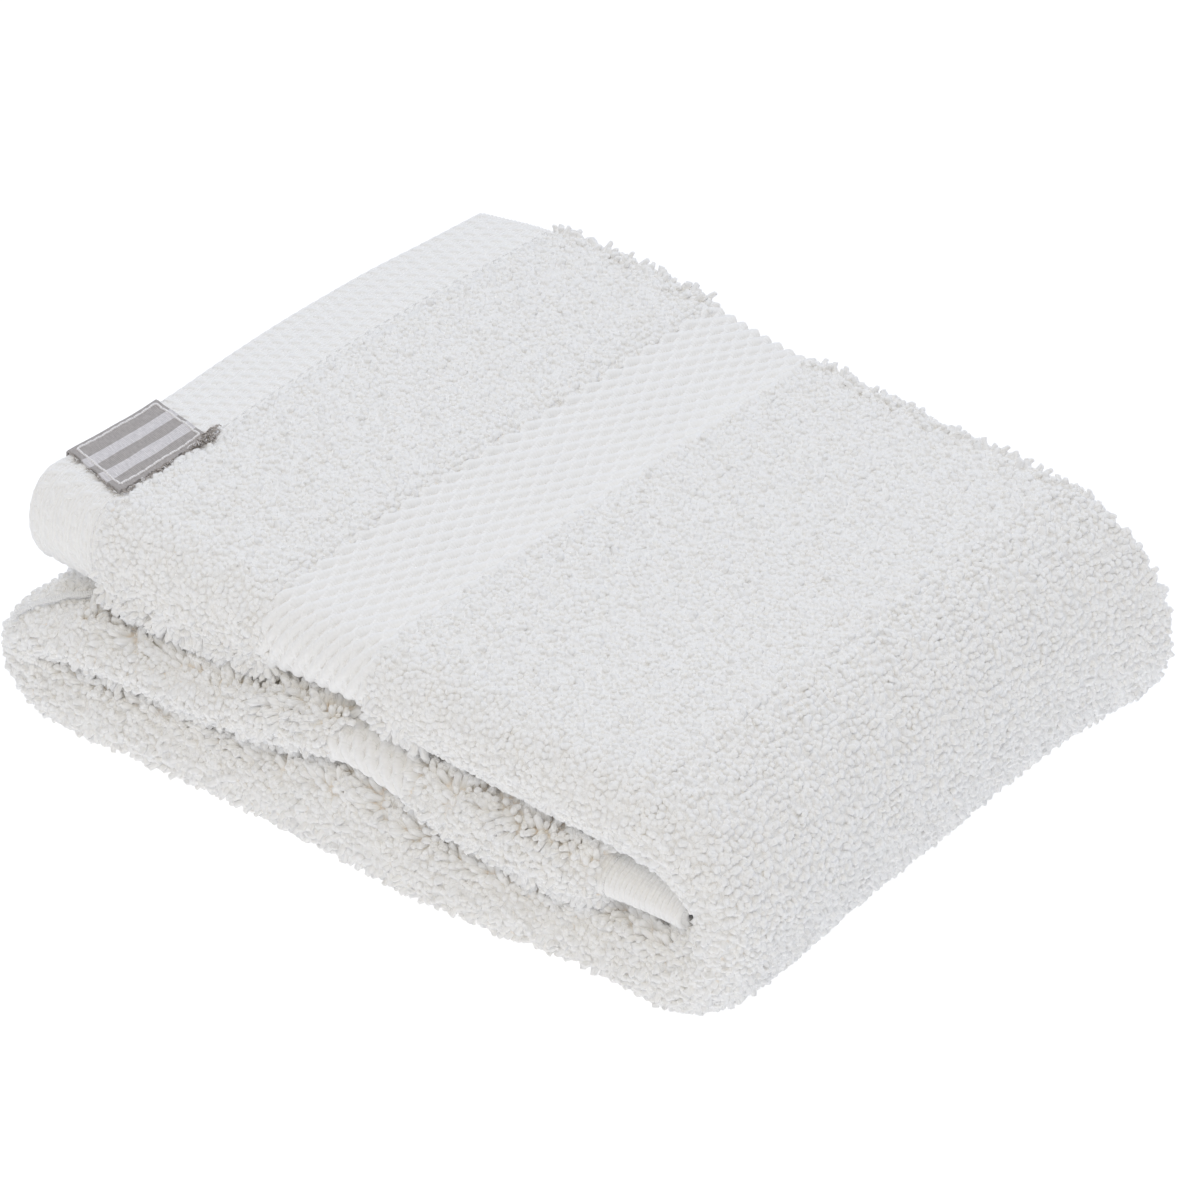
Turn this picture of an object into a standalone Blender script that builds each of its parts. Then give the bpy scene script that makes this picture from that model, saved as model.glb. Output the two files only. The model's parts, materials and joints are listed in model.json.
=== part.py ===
"""A thick white terry hand towel, folded for the shelf, with a small woven label on its hem.

The cloth is folded in half along its length, so that its long fold lies at the front (-Y) and its
two long edges lie together at the back. Then it is folded in three: the top layer runs from the
labelled hem (-X) to the round fold at +X, the bottom layer runs back to the tight fold at -X, and
the middle layer ends with the other hem inside the round fold. Each layer is two plies thick.

Lengths are in metres. The tables are in millimetres, and MM turns them into metres.
"""

import bmesh
import bpy
import numpy as np

MM = 0.001

# The cloth, across its pile
TERRY = 8.3 * MM  # ground weave with long loops on both faces
BORDER = 5.4 * MM  # the flat woven border band
HEM = 3.2 * MM  # turned and sewn end, without loops
PLY_GAP = 0.6 * MM  # least space between the two plies of a layer
LAYER_GAP = 0.8 * MM  # space between two layers

# The cloth, along its length, from either end
HEM_END = 20.8 * MM
TOP_BORDER = (67.5 * MM, 95.5 * MM)
INNER_BORDER = (67.5 * MM, 88 * MM)  # its far side is squeezed shut by the folds beside it
STEP = 2 * MM  # length over which the pile rises or falls

# The folded towel
TOP_HEM_X = 0 * MM
INNER_HEM_X = 175 * MM
ROUND_FOLD_X = 164 * MM  # where the top and bottom layers start to turn
ROUND_FOLD_THICK = 13.5 * MM  # its two plies, pressed together as they turn
TIGHT_FOLD_X = 14.5 * MM
TIGHT_FOLD_INSIDE = 2.5 * MM
TIGHT_FOLD_FULLNESS = 0.78  # 1 turns it in a half ellipse, and less makes its end blunter
NOSE_DEPTH = 11 * MM  # how far back the rounded long fold reaches
NOSE_ROOM = 2 * MM  # least depth of the hollow inside that long fold
STACK_SETTLES = 55 * MM  # how far from the front the layers become even

# Heights where the layers part, at the front fold and at the back edges
STACK = dict(
    x=(0, 16, 40, 63, 76, 92, 104, 118, 140, 156, 168, 180),
    front_bottom=(18.0, 18.0, 18.7, 19.8, 22.5, 26.0, 23.5, 18.5, 17.8, 21.5, 23.5, 24.0),
    front_middle=(31.5, 31.5, 32.2, 35.0, 36.8, 38.0, 36.5, 36.0, 36.1, 36.4, 36.2, 35.2),
    front_top=(60.3, 60.2, 59.0, 58.5, 58.5, 58.5, 58.5, 58.5, 58.5, 58.5, 58.3, 58.0),
    back_bottom=(19.5, 19.5, 19.5, 19.5, 19.5, 19.5, 19.5, 19.5, 19.5, 19.5, 19.5, 19.5),
    back_middle=(39.0, 39.0, 39.0, 39.0, 39.0, 39.0, 39.0, 39.0, 39.0, 39.0, 39.0, 39.0),
    back_top=(58.4, 60.0, 61.2, 61.3, 60.2, 59.2, 59.4, 59.5, 59.3, 59.8, 60.5, 60.8),
)

# How far the two ends of the stack reach, from the front to the back
REACH = dict(
    y=(-8, 4, 14, 28, 45, 60, 85, 105, 125, 148),
    round_fold=(188.5, 190, 191.5, 192, 190.7, 189.7, 189, 187.8, 188.0, 191.8),
    tight_fold=(-6.0, -6.2, -5.2, -4.2, -3.5, -3, -3, -2.5, -2, -2),
    top_hem=(0.5, 0.3, 0.5, 0.4, -0.6, -1.8, -2.8, -2.5, -1, 0.8),
)

# Where the long fold stands and where the two long edges end, along the cloth from the top hem
LONG_EDGES = dict(
    share=(0, 0.04, 0.15, 0.29, 0.36, 0.42, 0.46, 0.51, 0.57, 0.63, 0.66, 0.70, 0.75, 0.87, 1.0),
    front=(-0.5, 0, 2, 4.5, 6.3, 7.3, 3.5, -1, -1.8, -5.3, -7.3, -7.5, -4.5, 1, 6.5),
    outer_edge=(143, 146, 145, 143.5, 149, 147, 145, 144, 143, 144, 144, 145, 144, 142, 141),
    inner_edge=(141, 141, 142, 142, 145, 145, 143, 142, 141, 142, 142, 142, 141, 143, 142),
)

# Stations along each stretch of the cloth, and columns across its width
TOP_STATIONS = 14
ROUND_STATIONS = 13
BOTTOM_STATIONS = 13
TIGHT_STATIONS = 12
MIDDLE_STATIONS = 13
FLAT_COLUMNS = (0.0, 0.16, 0.34, 0.50, 0.64, 0.76, 0.87, 0.95)
NOSE_COLUMNS = 9

# The label, folded over the end of the top hem
LABEL_THICK = 0.9 * MM
LABEL_GAP = 0.35 * MM
LABEL_Y = (14.5 * MM, 41.5 * MM)
LABEL_SLANT = 0.2  # it is sewn on askew, by this much y for each x
LABEL_TOP_LEG = 19.3 * MM
LABEL_UNDER_LEG = 9 * MM
LABEL_COLUMNS = 10
LABEL_LEG_ROWS = 6
LABEL_END_ROWS = 5

COTTON_WHITE = (0.80, 0.79, 0.775, 1.0)
LABEL_GREY = (0.28, 0.262, 0.258, 1.0)
CREASE_ANGLE = 50  # degrees, above which an edge is shaded sharp


def smooth_rows(rows, values, at):
    """Values at the places given of a smooth curve through the rows, which never overshoots them."""
    rows = np.asarray(rows, float)
    values = np.asarray(values, float) * MM
    run = np.diff(rows)
    slope = np.diff(values) / run
    tangent = np.concatenate([slope[:1], np.zeros(len(slope) - 1), slope[-1:]])
    turns = slope[:-1] * slope[1:]
    same_way = turns > 0
    tangent[1:-1][same_way] = 2 * turns[same_way] / (slope[:-1] + slope[1:])[same_way]
    k = np.clip(np.searchsorted(rows, at) - 1, 0, len(run) - 1)
    t = np.clip((at - rows[k]) / run[k], 0, 1)
    start, end = values[k], values[k + 1]
    return (
        start
        + (end - start) * t * t * (3 - 2 * t)
        + run[k] * t * (1 - t) * (tangent[k] * (1 - t) - tangent[k + 1] * t)
    )


def ease(t):
    t = np.clip(t, 0, 1)
    return t * t * (3 - 2 * t)


def parting(name, x, y):
    """Height at (x, y) of the top of the bottom, middle or top layer."""
    front = smooth_rows(STACK["x"], STACK["front_" + name], x / MM)
    back = smooth_rows(STACK["x"], STACK["back_" + name], x / MM)
    return front + (back - front) * ease(y / STACK_SETTLES)


def reach(name, y):
    return smooth_rows(REACH["y"], REACH[name], y / MM)


def long_edge(name, share):
    return smooth_rows(LONG_EDGES["share"], LONG_EDGES[name], share)


def straight_layer(x, outer, inner, sway=0):
    """A station of a level layer: its outward and inward faces, as (x, z) for any y.

    sway is how much of the wavy line of the top hem the station follows, from 0 to 1.
    """
    def faces(y):
        x_there = x + sway * reach("top_hem", y)
        return (x_there, outer(x_there, y)), (x_there, inner(x_there, y))
    return faces


def turned_layer(angle, centre_x, outer, inner, fullness=1):
    """A station in a fold: each face is part of a half oval of (reach, lower, upper) in y."""
    def face(y, shape):
        depth, lower, upper = shape(y)
        middle, half = (upper + lower) / 2, (upper - lower) / 2
        return centre_x + depth * np.sin(angle) ** fullness, middle + half * np.cos(angle)
    return lambda y: (face(y, outer), face(y, inner))


def layer_faces():
    """Height functions of the outward and inward face of the top, bottom and middle layer."""
    half_gap = LAYER_GAP / 2
    return dict(
        top=(
            lambda x, y: parting("top", x, y),
            lambda x, y: parting("middle", x, y) + half_gap,
        ),
        bottom=(
            lambda x, y: np.zeros_like(y),
            lambda x, y: parting("bottom", x, y) - half_gap,
        ),
        middle=(
            lambda x, y: parting("middle", x, y) - half_gap,
            lambda x, y: parting("bottom", x, y) + half_gap,
        ),
    )


def round_fold(angle):
    """A station of the fold at +X, which the top layer and the bottom layer share."""
    top, bottom = layer_faces()["top"], layer_faces()["bottom"]

    def outer(y):
        x = np.full_like(y, ROUND_FOLD_X)
        return reach("round_fold", y) - ROUND_FOLD_X, bottom[0](x, y), top[0](x, y)

    def inner(y):
        x = np.full_like(y, ROUND_FOLD_X)
        return outer(y)[0] - ROUND_FOLD_THICK, bottom[1](x, y), top[1](x, y)

    return turned_layer(angle, ROUND_FOLD_X, outer, inner)


def tight_fold(angle):
    """A station of the fold at -X, which the bottom layer and the middle layer share."""
    middle, bottom = layer_faces()["middle"], layer_faces()["bottom"]

    def outer(y):
        x = np.full_like(y, TIGHT_FOLD_X)
        return TIGHT_FOLD_X - reach("tight_fold", y), bottom[0](x, y), middle[0](x, y)

    def inner(y):
        x = np.full_like(y, TIGHT_FOLD_X)
        return np.full_like(y, TIGHT_FOLD_INSIDE), bottom[1](x, y), middle[1](x, y)

    turned = turned_layer(angle, 0, outer, inner, TIGHT_FOLD_FULLNESS)
    return lambda y: tuple((TIGHT_FOLD_X - x, z) for x, z in turned(y))


def pile_steps(border):
    """Distances from the end of the cloth where its thickness starts and stops changing."""
    return [edge + side * STEP / 2 for edge in (HEM_END, *border) for side in (-1, 1)]


def thickness(from_end, border):
    """Thickness of the cloth at a distance from its nearer end."""
    sizes = [HEM, HEM, TERRY, TERRY, BORDER, BORDER, TERRY]
    return np.interp(from_end, [0, *pile_steps(border)], sizes)


def cloth_stations():
    """(faces, thickness) of each station from the top hem to the inner hem."""
    faces = layer_faces()
    found = []
    top_x = np.linspace(TOP_HEM_X, ROUND_FOLD_X, TOP_STATIONS)
    for x in np.unique([*top_x, *(TOP_HEM_X + np.array(pile_steps(TOP_BORDER)))]):
        sway = 1 - ease(x / TOP_BORDER[0])
        found.append((straight_layer(x, *faces["top"], sway), thickness(x - TOP_HEM_X, TOP_BORDER)))
    for angle in np.linspace(0, np.pi, ROUND_STATIONS + 2)[1:-1]:
        found.append((round_fold(angle), TERRY))
    for x in np.linspace(ROUND_FOLD_X, TIGHT_FOLD_X, BOTTOM_STATIONS):
        found.append((straight_layer(x, *faces["bottom"]), TERRY))
    for angle in np.linspace(np.pi, 0, TIGHT_STATIONS + 2)[1:-1]:
        found.append((tight_fold(angle), TERRY))
    middle_x = np.linspace(TIGHT_FOLD_X, INNER_HEM_X, MIDDLE_STATIONS)
    for x in np.unique([*middle_x, *(INNER_HEM_X - np.array(pile_steps(INNER_BORDER)))]):
        found.append((straight_layer(x, *faces["middle"]), thickness(INNER_HEM_X - x, INNER_BORDER)))
    return found


def lengths_along(stations):
    """Distance of each station from the top hem, along the middle of the layers."""
    y = np.array([STACK_SETTLES])
    middles = []
    for faces, _ in stations:
        (x_out, z_out), (x_in, z_in) = faces(y)
        middles.append([(x_out[0] + x_in[0]) / 2, (z_out[0] + z_in[0]) / 2])
    runs = np.linalg.norm(np.diff(middles, axis=0), axis=1)
    return np.concatenate([[0], np.cumsum(runs)])


def cloth_columns(front, outer_edge, inner_edge, depth):
    """y and rise of each column of one face, across the width of the cloth.

    rise goes from 1 in the outward ply to -1 in the inward ply, round a nose of the given depth.
    """
    centre = front + NOSE_DEPTH
    flat = np.array(FLAT_COLUMNS)
    turn = np.linspace(np.pi / 2, -np.pi / 2, NOSE_COLUMNS)
    y = np.concatenate([
        outer_edge + (centre - outer_edge) * flat,
        centre - depth * np.cos(turn),
        inner_edge + (centre - inner_edge) * flat[::-1],
    ])
    rise = np.concatenate([np.ones(len(flat)), np.sin(turn), -np.ones(len(flat))])
    return y, rise


def cloth_faces():
    """Points of the cloth's two faces, as arrays of station by column, and the cloth's length."""
    stations = cloth_stations()
    along = lengths_along(stations)
    outward, inward = [], []
    for (faces, thick), distance in zip(stations, along):
        share = distance / along[-1]
        edges = [long_edge(name, share) for name in ("front", "outer_edge", "inner_edge")]
        inset = (TERRY - thick) / 2
        depth = NOSE_DEPTH - inset
        for side, reached in ((0, depth), (1, max(depth - thick, NOSE_ROOM))):
            y, rise = cloth_columns(*edges, reached)
            (x_out, z_out), (x_in, z_in) = faces(y)
            room = np.hypot(x_out - x_in, z_out - z_in)
            fullest = np.minimum(TERRY, (room - PLY_GAP) / 2)
            here = np.minimum(thick, fullest)
            sink = (fullest - here) / 2 + side * here
            share_in = 0.5 - rise * (0.5 - sink / room)
            x = x_out + (x_in - x_out) * share_in
            z = z_out + (z_in - z_out) * share_in
            (outward, inward)[side].append(np.stack([x, y, z], axis=1))
    return np.array(outward), np.array(inward), along[-1]


def label_faces():
    """Points of the label's two faces, folded over the end of the top hem."""
    hem_middle = TERRY / 2
    half_hem = HEM / 2 + LABEL_GAP
    outer_half = half_hem + LABEL_THICK
    outer_end = LABEL_GAP + LABEL_THICK

    # Each row is x and the height over the hem's middle, first inside the label and then outside.
    top = [
        (x, half_hem, x, outer_half) for x in np.linspace(LABEL_TOP_LEG, 0, LABEL_LEG_ROWS)
    ]
    end = []
    for angle in np.linspace(0, np.pi, LABEL_END_ROWS + 2)[1:-1]:
        ahead, rise = np.sin(angle), np.cos(angle)
        end.append((-LABEL_GAP * ahead, half_hem * rise, -outer_end * ahead, outer_half * rise))
    under = [
        (x, -half_hem, x, -outer_half) for x in np.linspace(0, LABEL_UNDER_LEG, LABEL_LEG_ROWS)
    ]
    surface = layer_faces()["top"][0]
    outward, inward = [], []
    for x_in, rise_in, x_out, rise_out in top + end + under:
        for x, rise, found in ((x_in, rise_in, inward), (x_out, rise_out, outward)):
            y = np.linspace(*LABEL_Y, LABEL_COLUMNS) - LABEL_SLANT * x
            x_there = x + reach("top_hem", y)
            z = surface(x_there, y) - hem_middle + rise
            found.append(np.stack([x_there, y, z], axis=1))
    return np.array(outward), np.array(inward)


def thick_sheet(outward, inward):
    """Vertices and quads of a closed sheet between two grids of points."""
    rows, columns = outward.shape[:2]
    points = np.concatenate([outward.reshape(-1, 3), inward.reshape(-1, 3)])

    def index(side, row, column):
        return (side * rows + row) * columns + column

    faces = []
    for side in (0, 1):
        for row in range(rows - 1):
            for column in range(columns - 1):
                quad = [
                    index(side, row, column),
                    index(side, row, column + 1),
                    index(side, row + 1, column + 1),
                    index(side, row + 1, column),
                ]
                faces.append(quad if side == 0 else quad[::-1])
    rim = [(row, 0) for row in range(rows)]
    rim += [(rows - 1, column) for column in range(1, columns)]
    rim += [(row, columns - 1) for row in range(rows - 2, -1, -1)]
    rim += [(0, column) for column in range(columns - 2, 0, -1)]
    for here, there in zip(rim, rim[1:] + rim[:1]):
        faces.append([index(0, *here), index(0, *there), index(1, *there), index(1, *here)])
    return points, faces


def sheet_object(name, points, faces, material):
    mesh = bpy.data.meshes.new(name)
    mesh.from_pydata([tuple(point) for point in points], [], faces)
    tidy = bmesh.new()
    tidy.from_mesh(mesh)
    bmesh.ops.recalc_face_normals(tidy, faces=tidy.faces)
    tidy.to_mesh(mesh)
    tidy.free()
    mesh.shade_smooth()
    mesh.set_sharp_from_angle(angle=np.radians(CREASE_ANGLE))
    mesh.materials.append(material)
    made = bpy.data.objects.new(name, mesh)
    bpy.context.scene.collection.objects.link(made)


def matt_material(name, colour, roughness):
    material = bpy.data.materials.new(name)
    material.use_nodes = True
    shader = material.node_tree.nodes["Principled BSDF"]
    shader.inputs["Base Color"].default_value = colour
    shader.inputs["Roughness"].default_value = roughness
    shader.inputs["Metallic"].default_value = 0.0
    return material


def main():
    for old in list(bpy.data.objects):
        bpy.data.objects.remove(old, do_unlink=True)
    outward, inward, length = cloth_faces()
    low, high = outward.min(axis=(0, 1)), outward.max(axis=(0, 1))
    origin = np.array([(low[0] + high[0]) / 2, (low[1] + high[1]) / 2, low[2]])
    print("cloth length along its middle, mm:", round(length / MM, 1), "shift, mm:", origin / MM)
    points, faces = thick_sheet(outward, inward)
    terry = matt_material("cotton_terry", COTTON_WHITE, 0.95)
    sheet_object("towel", points - origin, faces, terry)
    points, faces = thick_sheet(*label_faces())
    satin = matt_material("woven_label", LABEL_GREY, 0.8)
    sheet_object("label", points - origin, faces, satin)


main()
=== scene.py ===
# %% [markdown]
# # A folded terry hand towel
# The real towel is one piece of plush terry: a woven ground with cotton loops on both faces, a flat
# woven border near each end, and a hem sewn at each end. It lies folded in half along its length and
# then in three, and a small grey label is sewn over the end of the top hem.
#
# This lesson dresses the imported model. First the model is loaded as a fixed frame: it gives the size,
# the place and the folds that everything below keeps to.

import json

import bpy
import numpy as np
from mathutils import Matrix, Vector

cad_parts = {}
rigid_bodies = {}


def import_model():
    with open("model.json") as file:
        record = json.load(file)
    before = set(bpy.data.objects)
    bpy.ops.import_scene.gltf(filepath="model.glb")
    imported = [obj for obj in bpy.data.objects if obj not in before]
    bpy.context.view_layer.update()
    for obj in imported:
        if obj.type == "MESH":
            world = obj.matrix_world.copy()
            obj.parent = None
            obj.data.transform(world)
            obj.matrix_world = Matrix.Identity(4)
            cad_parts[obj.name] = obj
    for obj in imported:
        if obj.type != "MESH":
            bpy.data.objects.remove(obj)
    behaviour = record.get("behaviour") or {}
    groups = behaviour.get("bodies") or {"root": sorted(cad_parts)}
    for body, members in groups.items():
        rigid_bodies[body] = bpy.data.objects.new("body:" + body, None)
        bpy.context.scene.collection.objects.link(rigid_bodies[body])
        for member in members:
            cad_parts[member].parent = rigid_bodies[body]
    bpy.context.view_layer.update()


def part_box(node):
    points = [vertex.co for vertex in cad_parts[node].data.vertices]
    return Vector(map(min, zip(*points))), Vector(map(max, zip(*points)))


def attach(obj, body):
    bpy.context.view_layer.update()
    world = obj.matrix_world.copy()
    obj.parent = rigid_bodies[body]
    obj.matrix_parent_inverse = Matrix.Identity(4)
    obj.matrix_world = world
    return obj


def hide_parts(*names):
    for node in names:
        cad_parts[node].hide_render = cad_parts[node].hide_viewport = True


MM = 0.001

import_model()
towel_low, towel_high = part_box("towel")
print("the folded towel measures, in mm:", [round(size / MM, 1) for size in towel_high - towel_low])

# %% [markdown]
# ## One helper for every node
# Materials and geometry node trees are both made of nodes that have settings, numbers and links. One
# small function adds any of them, so that each tree below reads as a list of what it does.

# %% Add a node


def add_node(tree, kind, inputs=None, **settings):
    """Adds a node, sets its settings, and sets or links its inputs by their name or number."""
    node = tree.nodes.new(kind)
    for name, value in settings.items():
        setattr(node, name, value)
    for key, value in (inputs or {}).items():
        if isinstance(value, bpy.types.NodeSocket):
            tree.links.new(value, node.inputs[key])
        else:
            node.inputs[key].default_value = value
    return node


def linear(hex_colour):
    """The linear colour, with alpha, of an sRGB hex value such as #F1EFEB."""
    channels = [int(hex_colour[k:k + 2], 16) / 255 for k in (1, 3, 5)]
    curve = [c / 12.92 if c <= 0.04045 else ((c + 0.055) / 1.055) ** 2.4 for c in channels]
    return (*curve, 1.0)


print("cotton white in linear light:", [round(c, 3) for c in linear("#F1EFEB")])

# %% [markdown]
# ## How the cloth is folded
# A cloth simulation could fold a flat sheet, but it would not stop in the folds that this towel lies
# in. So the folds are drawn: short tables say how high each layer lies, how far the folds reach and
# where the long edges end, and a smooth curve runs through each table. They are the same tables as in
# the solid model, in millimetres.

# %% The fold tables
TERRY = 8.3 * MM
BORDER = 5.4 * MM
HEM = 3.2 * MM
PLY_GAP = 0.6 * MM
LAYER_GAP = 0.8 * MM
HEM_END = 20.8 * MM
TOP_BORDER = (67.5 * MM, 95.5 * MM)
INNER_BORDER = (67.5 * MM, 88 * MM)
STEP = 2 * MM
INNER_HEM_X = 175 * MM
ROUND_FOLD_X = 164 * MM
ROUND_FOLD_THICK = 13.5 * MM
TIGHT_FOLD_X = 14.5 * MM
TIGHT_FOLD_INSIDE = 2.5 * MM
TIGHT_FOLD_FULLNESS = 0.78
NOSE_DEPTH = 11 * MM
NOSE_ROOM = 2 * MM
STACK_SETTLES = 55 * MM

STACK = dict(
    x=(0, 16, 40, 63, 76, 92, 104, 118, 140, 156, 168, 180),
    front_bottom=(18.0, 18.0, 18.7, 19.8, 22.5, 26.0, 23.5, 18.5, 17.8, 21.5, 23.5, 24.0),
    front_middle=(31.5, 31.5, 32.2, 35.0, 36.8, 38.0, 36.5, 36.0, 36.1, 36.4, 36.2, 35.2),
    front_top=(60.3, 60.2, 59.0, 58.5, 58.5, 58.5, 58.5, 58.5, 58.5, 58.5, 58.3, 58.0),
    back_bottom=(19.5,) * 12,
    back_middle=(39.0,) * 12,
    back_top=(58.4, 60.0, 61.2, 61.3, 60.2, 59.2, 59.4, 59.5, 59.3, 59.8, 60.5, 60.8),
)
REACH = dict(
    y=(-8, 4, 14, 28, 45, 60, 85, 105, 125, 148),
    round_fold=(188.5, 190, 191.5, 192, 190.7, 189.7, 189, 187.8, 188.0, 191.8),
    tight_fold=(-6.0, -6.2, -5.2, -4.2, -3.5, -3, -3, -2.5, -2, -2),
    top_hem=(0.5, 0.3, 0.5, 0.4, -0.6, -1.8, -2.8, -2.5, -1, 0.8),
)
LONG_EDGES = dict(
    share=(0, 0.04, 0.15, 0.29, 0.36, 0.42, 0.46, 0.51, 0.57, 0.63, 0.66, 0.70, 0.75, 0.87, 1.0),
    front=(-0.5, 0, 2, 4.5, 6.3, 7.3, 3.5, -1, -1.8, -5.3, -7.3, -7.5, -4.5, 1, 6.5),
    outer_edge=(143, 146, 145, 143.5, 149, 147, 145, 144, 143, 144, 144, 145, 144, 142, 141),
    inner_edge=(141, 141, 142, 142, 145, 145, 143, 142, 141, 142, 142, 142, 141, 143, 142),
)

# %% Smooth curves through the tables


def smooth_rows(rows, values, at):
    """Values at the places given of a smooth curve through the rows, which never overshoots them."""
    rows = np.asarray(rows, float)
    values = np.asarray(values, float) * MM
    run = np.diff(rows)
    slope = np.diff(values) / run
    tangent = np.concatenate([slope[:1], np.zeros(len(slope) - 1), slope[-1:]])
    turns = slope[:-1] * slope[1:]
    same_way = turns > 0
    tangent[1:-1][same_way] = 2 * turns[same_way] / (slope[:-1] + slope[1:])[same_way]
    k = np.clip(np.searchsorted(rows, at) - 1, 0, len(run) - 1)
    t = np.clip((at - rows[k]) / run[k], 0, 1)
    start, end = values[k], values[k + 1]
    return (
        start
        + (end - start) * t * t * (3 - 2 * t)
        + run[k] * t * (1 - t) * (tangent[k] * (1 - t) - tangent[k + 1] * t)
    )


def ease(t):
    t = np.clip(t, 0, 1)
    return t * t * (3 - 2 * t)


def parting(name, x, y):
    """Height at (x, y) of the top of the bottom, middle or top layer."""
    front = smooth_rows(STACK["x"], STACK["front_" + name], x / MM)
    back = smooth_rows(STACK["x"], STACK["back_" + name], x / MM)
    return front + (back - front) * ease(y / STACK_SETTLES)


def reach(name, y):
    return smooth_rows(REACH["y"], REACH[name], y / MM)


print("the top lies", round(float(parting("top", 0.1, 0.1)) / MM, 1), "mm high near its middle")

# %% [markdown]
# ## A section at any place along the cloth
# Walking along the cloth from the top hem, a section is either level, in one of the three layers, or
# turned, in one of the two folds. Each section is a function that takes y and gives the outward and
# the inward face of the layer there.

# %% Level and turned sections


def straight_layer(x, outer, inner, sway=0):
    """A section of a level layer, which follows the wavy line of the top hem by the share sway."""
    def faces(y):
        x_there = x + sway * reach("top_hem", y)
        return (x_there, outer(x_there, y)), (x_there, inner(x_there, y))
    return faces


def turned_layer(angle, centre_x, outer, inner, fullness=1):
    """A section in a fold, where each face is part of a half oval of (reach, lower, upper) in y."""
    def face(y, shape):
        depth, lower, upper = shape(y)
        middle, half = (upper + lower) / 2, (upper - lower) / 2
        return centre_x + depth * np.sin(angle) ** fullness, middle + half * np.cos(angle)
    return lambda y: (face(y, outer), face(y, inner))


LAYERS = dict(
    top=(
        lambda x, y: parting("top", x, y),
        lambda x, y: parting("middle", x, y) + LAYER_GAP / 2,
    ),
    bottom=(
        lambda x, y: np.zeros_like(y),
        lambda x, y: parting("bottom", x, y) - LAYER_GAP / 2,
    ),
    middle=(
        lambda x, y: parting("middle", x, y) - LAYER_GAP / 2,
        lambda x, y: parting("bottom", x, y) + LAYER_GAP / 2,
    ),
)


def round_fold(angle):
    """A section of the fold at +X, which the top layer and the bottom layer share."""
    def oval(y, face, inset):
        x = np.full_like(y, ROUND_FOLD_X)
        depth = reach("round_fold", y) - ROUND_FOLD_X - inset
        return depth, LAYERS["bottom"][face](x, y), LAYERS["top"][face](x, y)
    return turned_layer(
        angle, ROUND_FOLD_X, lambda y: oval(y, 0, 0), lambda y: oval(y, 1, ROUND_FOLD_THICK)
    )


def tight_fold(angle):
    """A section of the fold at -X, which the bottom layer and the middle layer share."""
    def oval(y, face, depth):
        x = np.full_like(y, TIGHT_FOLD_X)
        return depth, LAYERS["bottom"][face](x, y), LAYERS["middle"][face](x, y)
    turned = turned_layer(
        angle, 0,
        lambda y: oval(y, 0, TIGHT_FOLD_X - reach("tight_fold", y)),
        lambda y: oval(y, 1, np.full_like(y, TIGHT_FOLD_INSIDE)),
        TIGHT_FOLD_FULLNESS,
    )
    return lambda y: tuple((TIGHT_FOLD_X - x, z) for x, z in turned(y))


# %% Sections a millimetre apart
FAR = 1.0  # a distance from the end that stands for the plain middle of the cloth
CELL = 1 * MM  # the mesh of the grid that all the pieces are placed on
TOP, ROUND, BOTTOM, TIGHT, MIDDLE = range(5)  # the zones along the cloth


def pile_thickness(from_end, border):
    """Thickness of the cloth over its pile, at a distance from its nearer end."""
    steps = [edge + side * STEP / 2 for edge in (HEM_END, *border) for side in (-1, 1)]
    return np.interp(from_end, [0, *steps], [HEM, HEM, TERRY, TERRY, BORDER, BORDER, TERRY])


def cloth_sections():
    """(faces, thickness, distance from the end, zone) of each section, from hem to hem."""
    found = []
    for x in np.arange(0, ROUND_FOLD_X, CELL):
        faces = straight_layer(x, *LAYERS["top"], 1 - ease(x / TOP_BORDER[0]))
        found.append((faces, pile_thickness(x, TOP_BORDER), x, TOP))
    for angle in np.linspace(0, np.pi, 80):
        found.append((round_fold(angle), TERRY, FAR, ROUND))
    for x in np.arange(ROUND_FOLD_X - CELL, TIGHT_FOLD_X, -CELL):
        found.append((straight_layer(x, *LAYERS["bottom"]), TERRY, FAR, BOTTOM))
    for angle in np.linspace(np.pi, 0, 60):
        found.append((tight_fold(angle), TERRY, FAR, TIGHT))
    for x in np.arange(TIGHT_FOLD_X + CELL, INNER_HEM_X + CELL / 2, CELL):
        faces, from_end = straight_layer(x, *LAYERS["middle"]), INNER_HEM_X - x
        found.append((faces, pile_thickness(from_end, INNER_BORDER), from_end, MIDDLE))
    return found


sections = cloth_sections()
print(len(sections), "sections along the cloth")

# %% [markdown]
# ## A grid over the whole cloth
# Across its width each section runs from one long edge, round the long fold at the front, to the
# other long edge. Laid out section by section this gives two grids of points, the tips of the pile
# on the cloth's outward and inward face. The grids are then respaced to one millimetre over the
# outward face, so that a place on the cloth is simply a row and a column, and everything that sits
# on the cloth can be set out in millimetres.

# %% Lay out both faces
FLAT_STEPS = 60
NOSE_STEPS = 41


def cross_columns(front, outer_edge, inner_edge, depth):
    """y and rise of the columns of one face, with rise from 1 to -1 round a nose of that depth."""
    centre = front + NOSE_DEPTH
    flat = np.linspace(0, 1, FLAT_STEPS, endpoint=False)
    turn = np.linspace(np.pi / 2, -np.pi / 2, NOSE_STEPS)
    y = np.concatenate([
        outer_edge + (centre - outer_edge) * flat,
        centre - depth * np.cos(turn),
        inner_edge + (centre - inner_edge) * flat[::-1],
    ])
    rise = np.concatenate([np.ones(FLAT_STEPS), np.sin(turn), -np.ones(FLAT_STEPS)])
    return y, rise


def lengths_along(line):
    """Length of a polyline up to each of its points."""
    return np.concatenate([[0], np.cumsum(np.linalg.norm(np.diff(line, axis=0), axis=1))])


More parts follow.
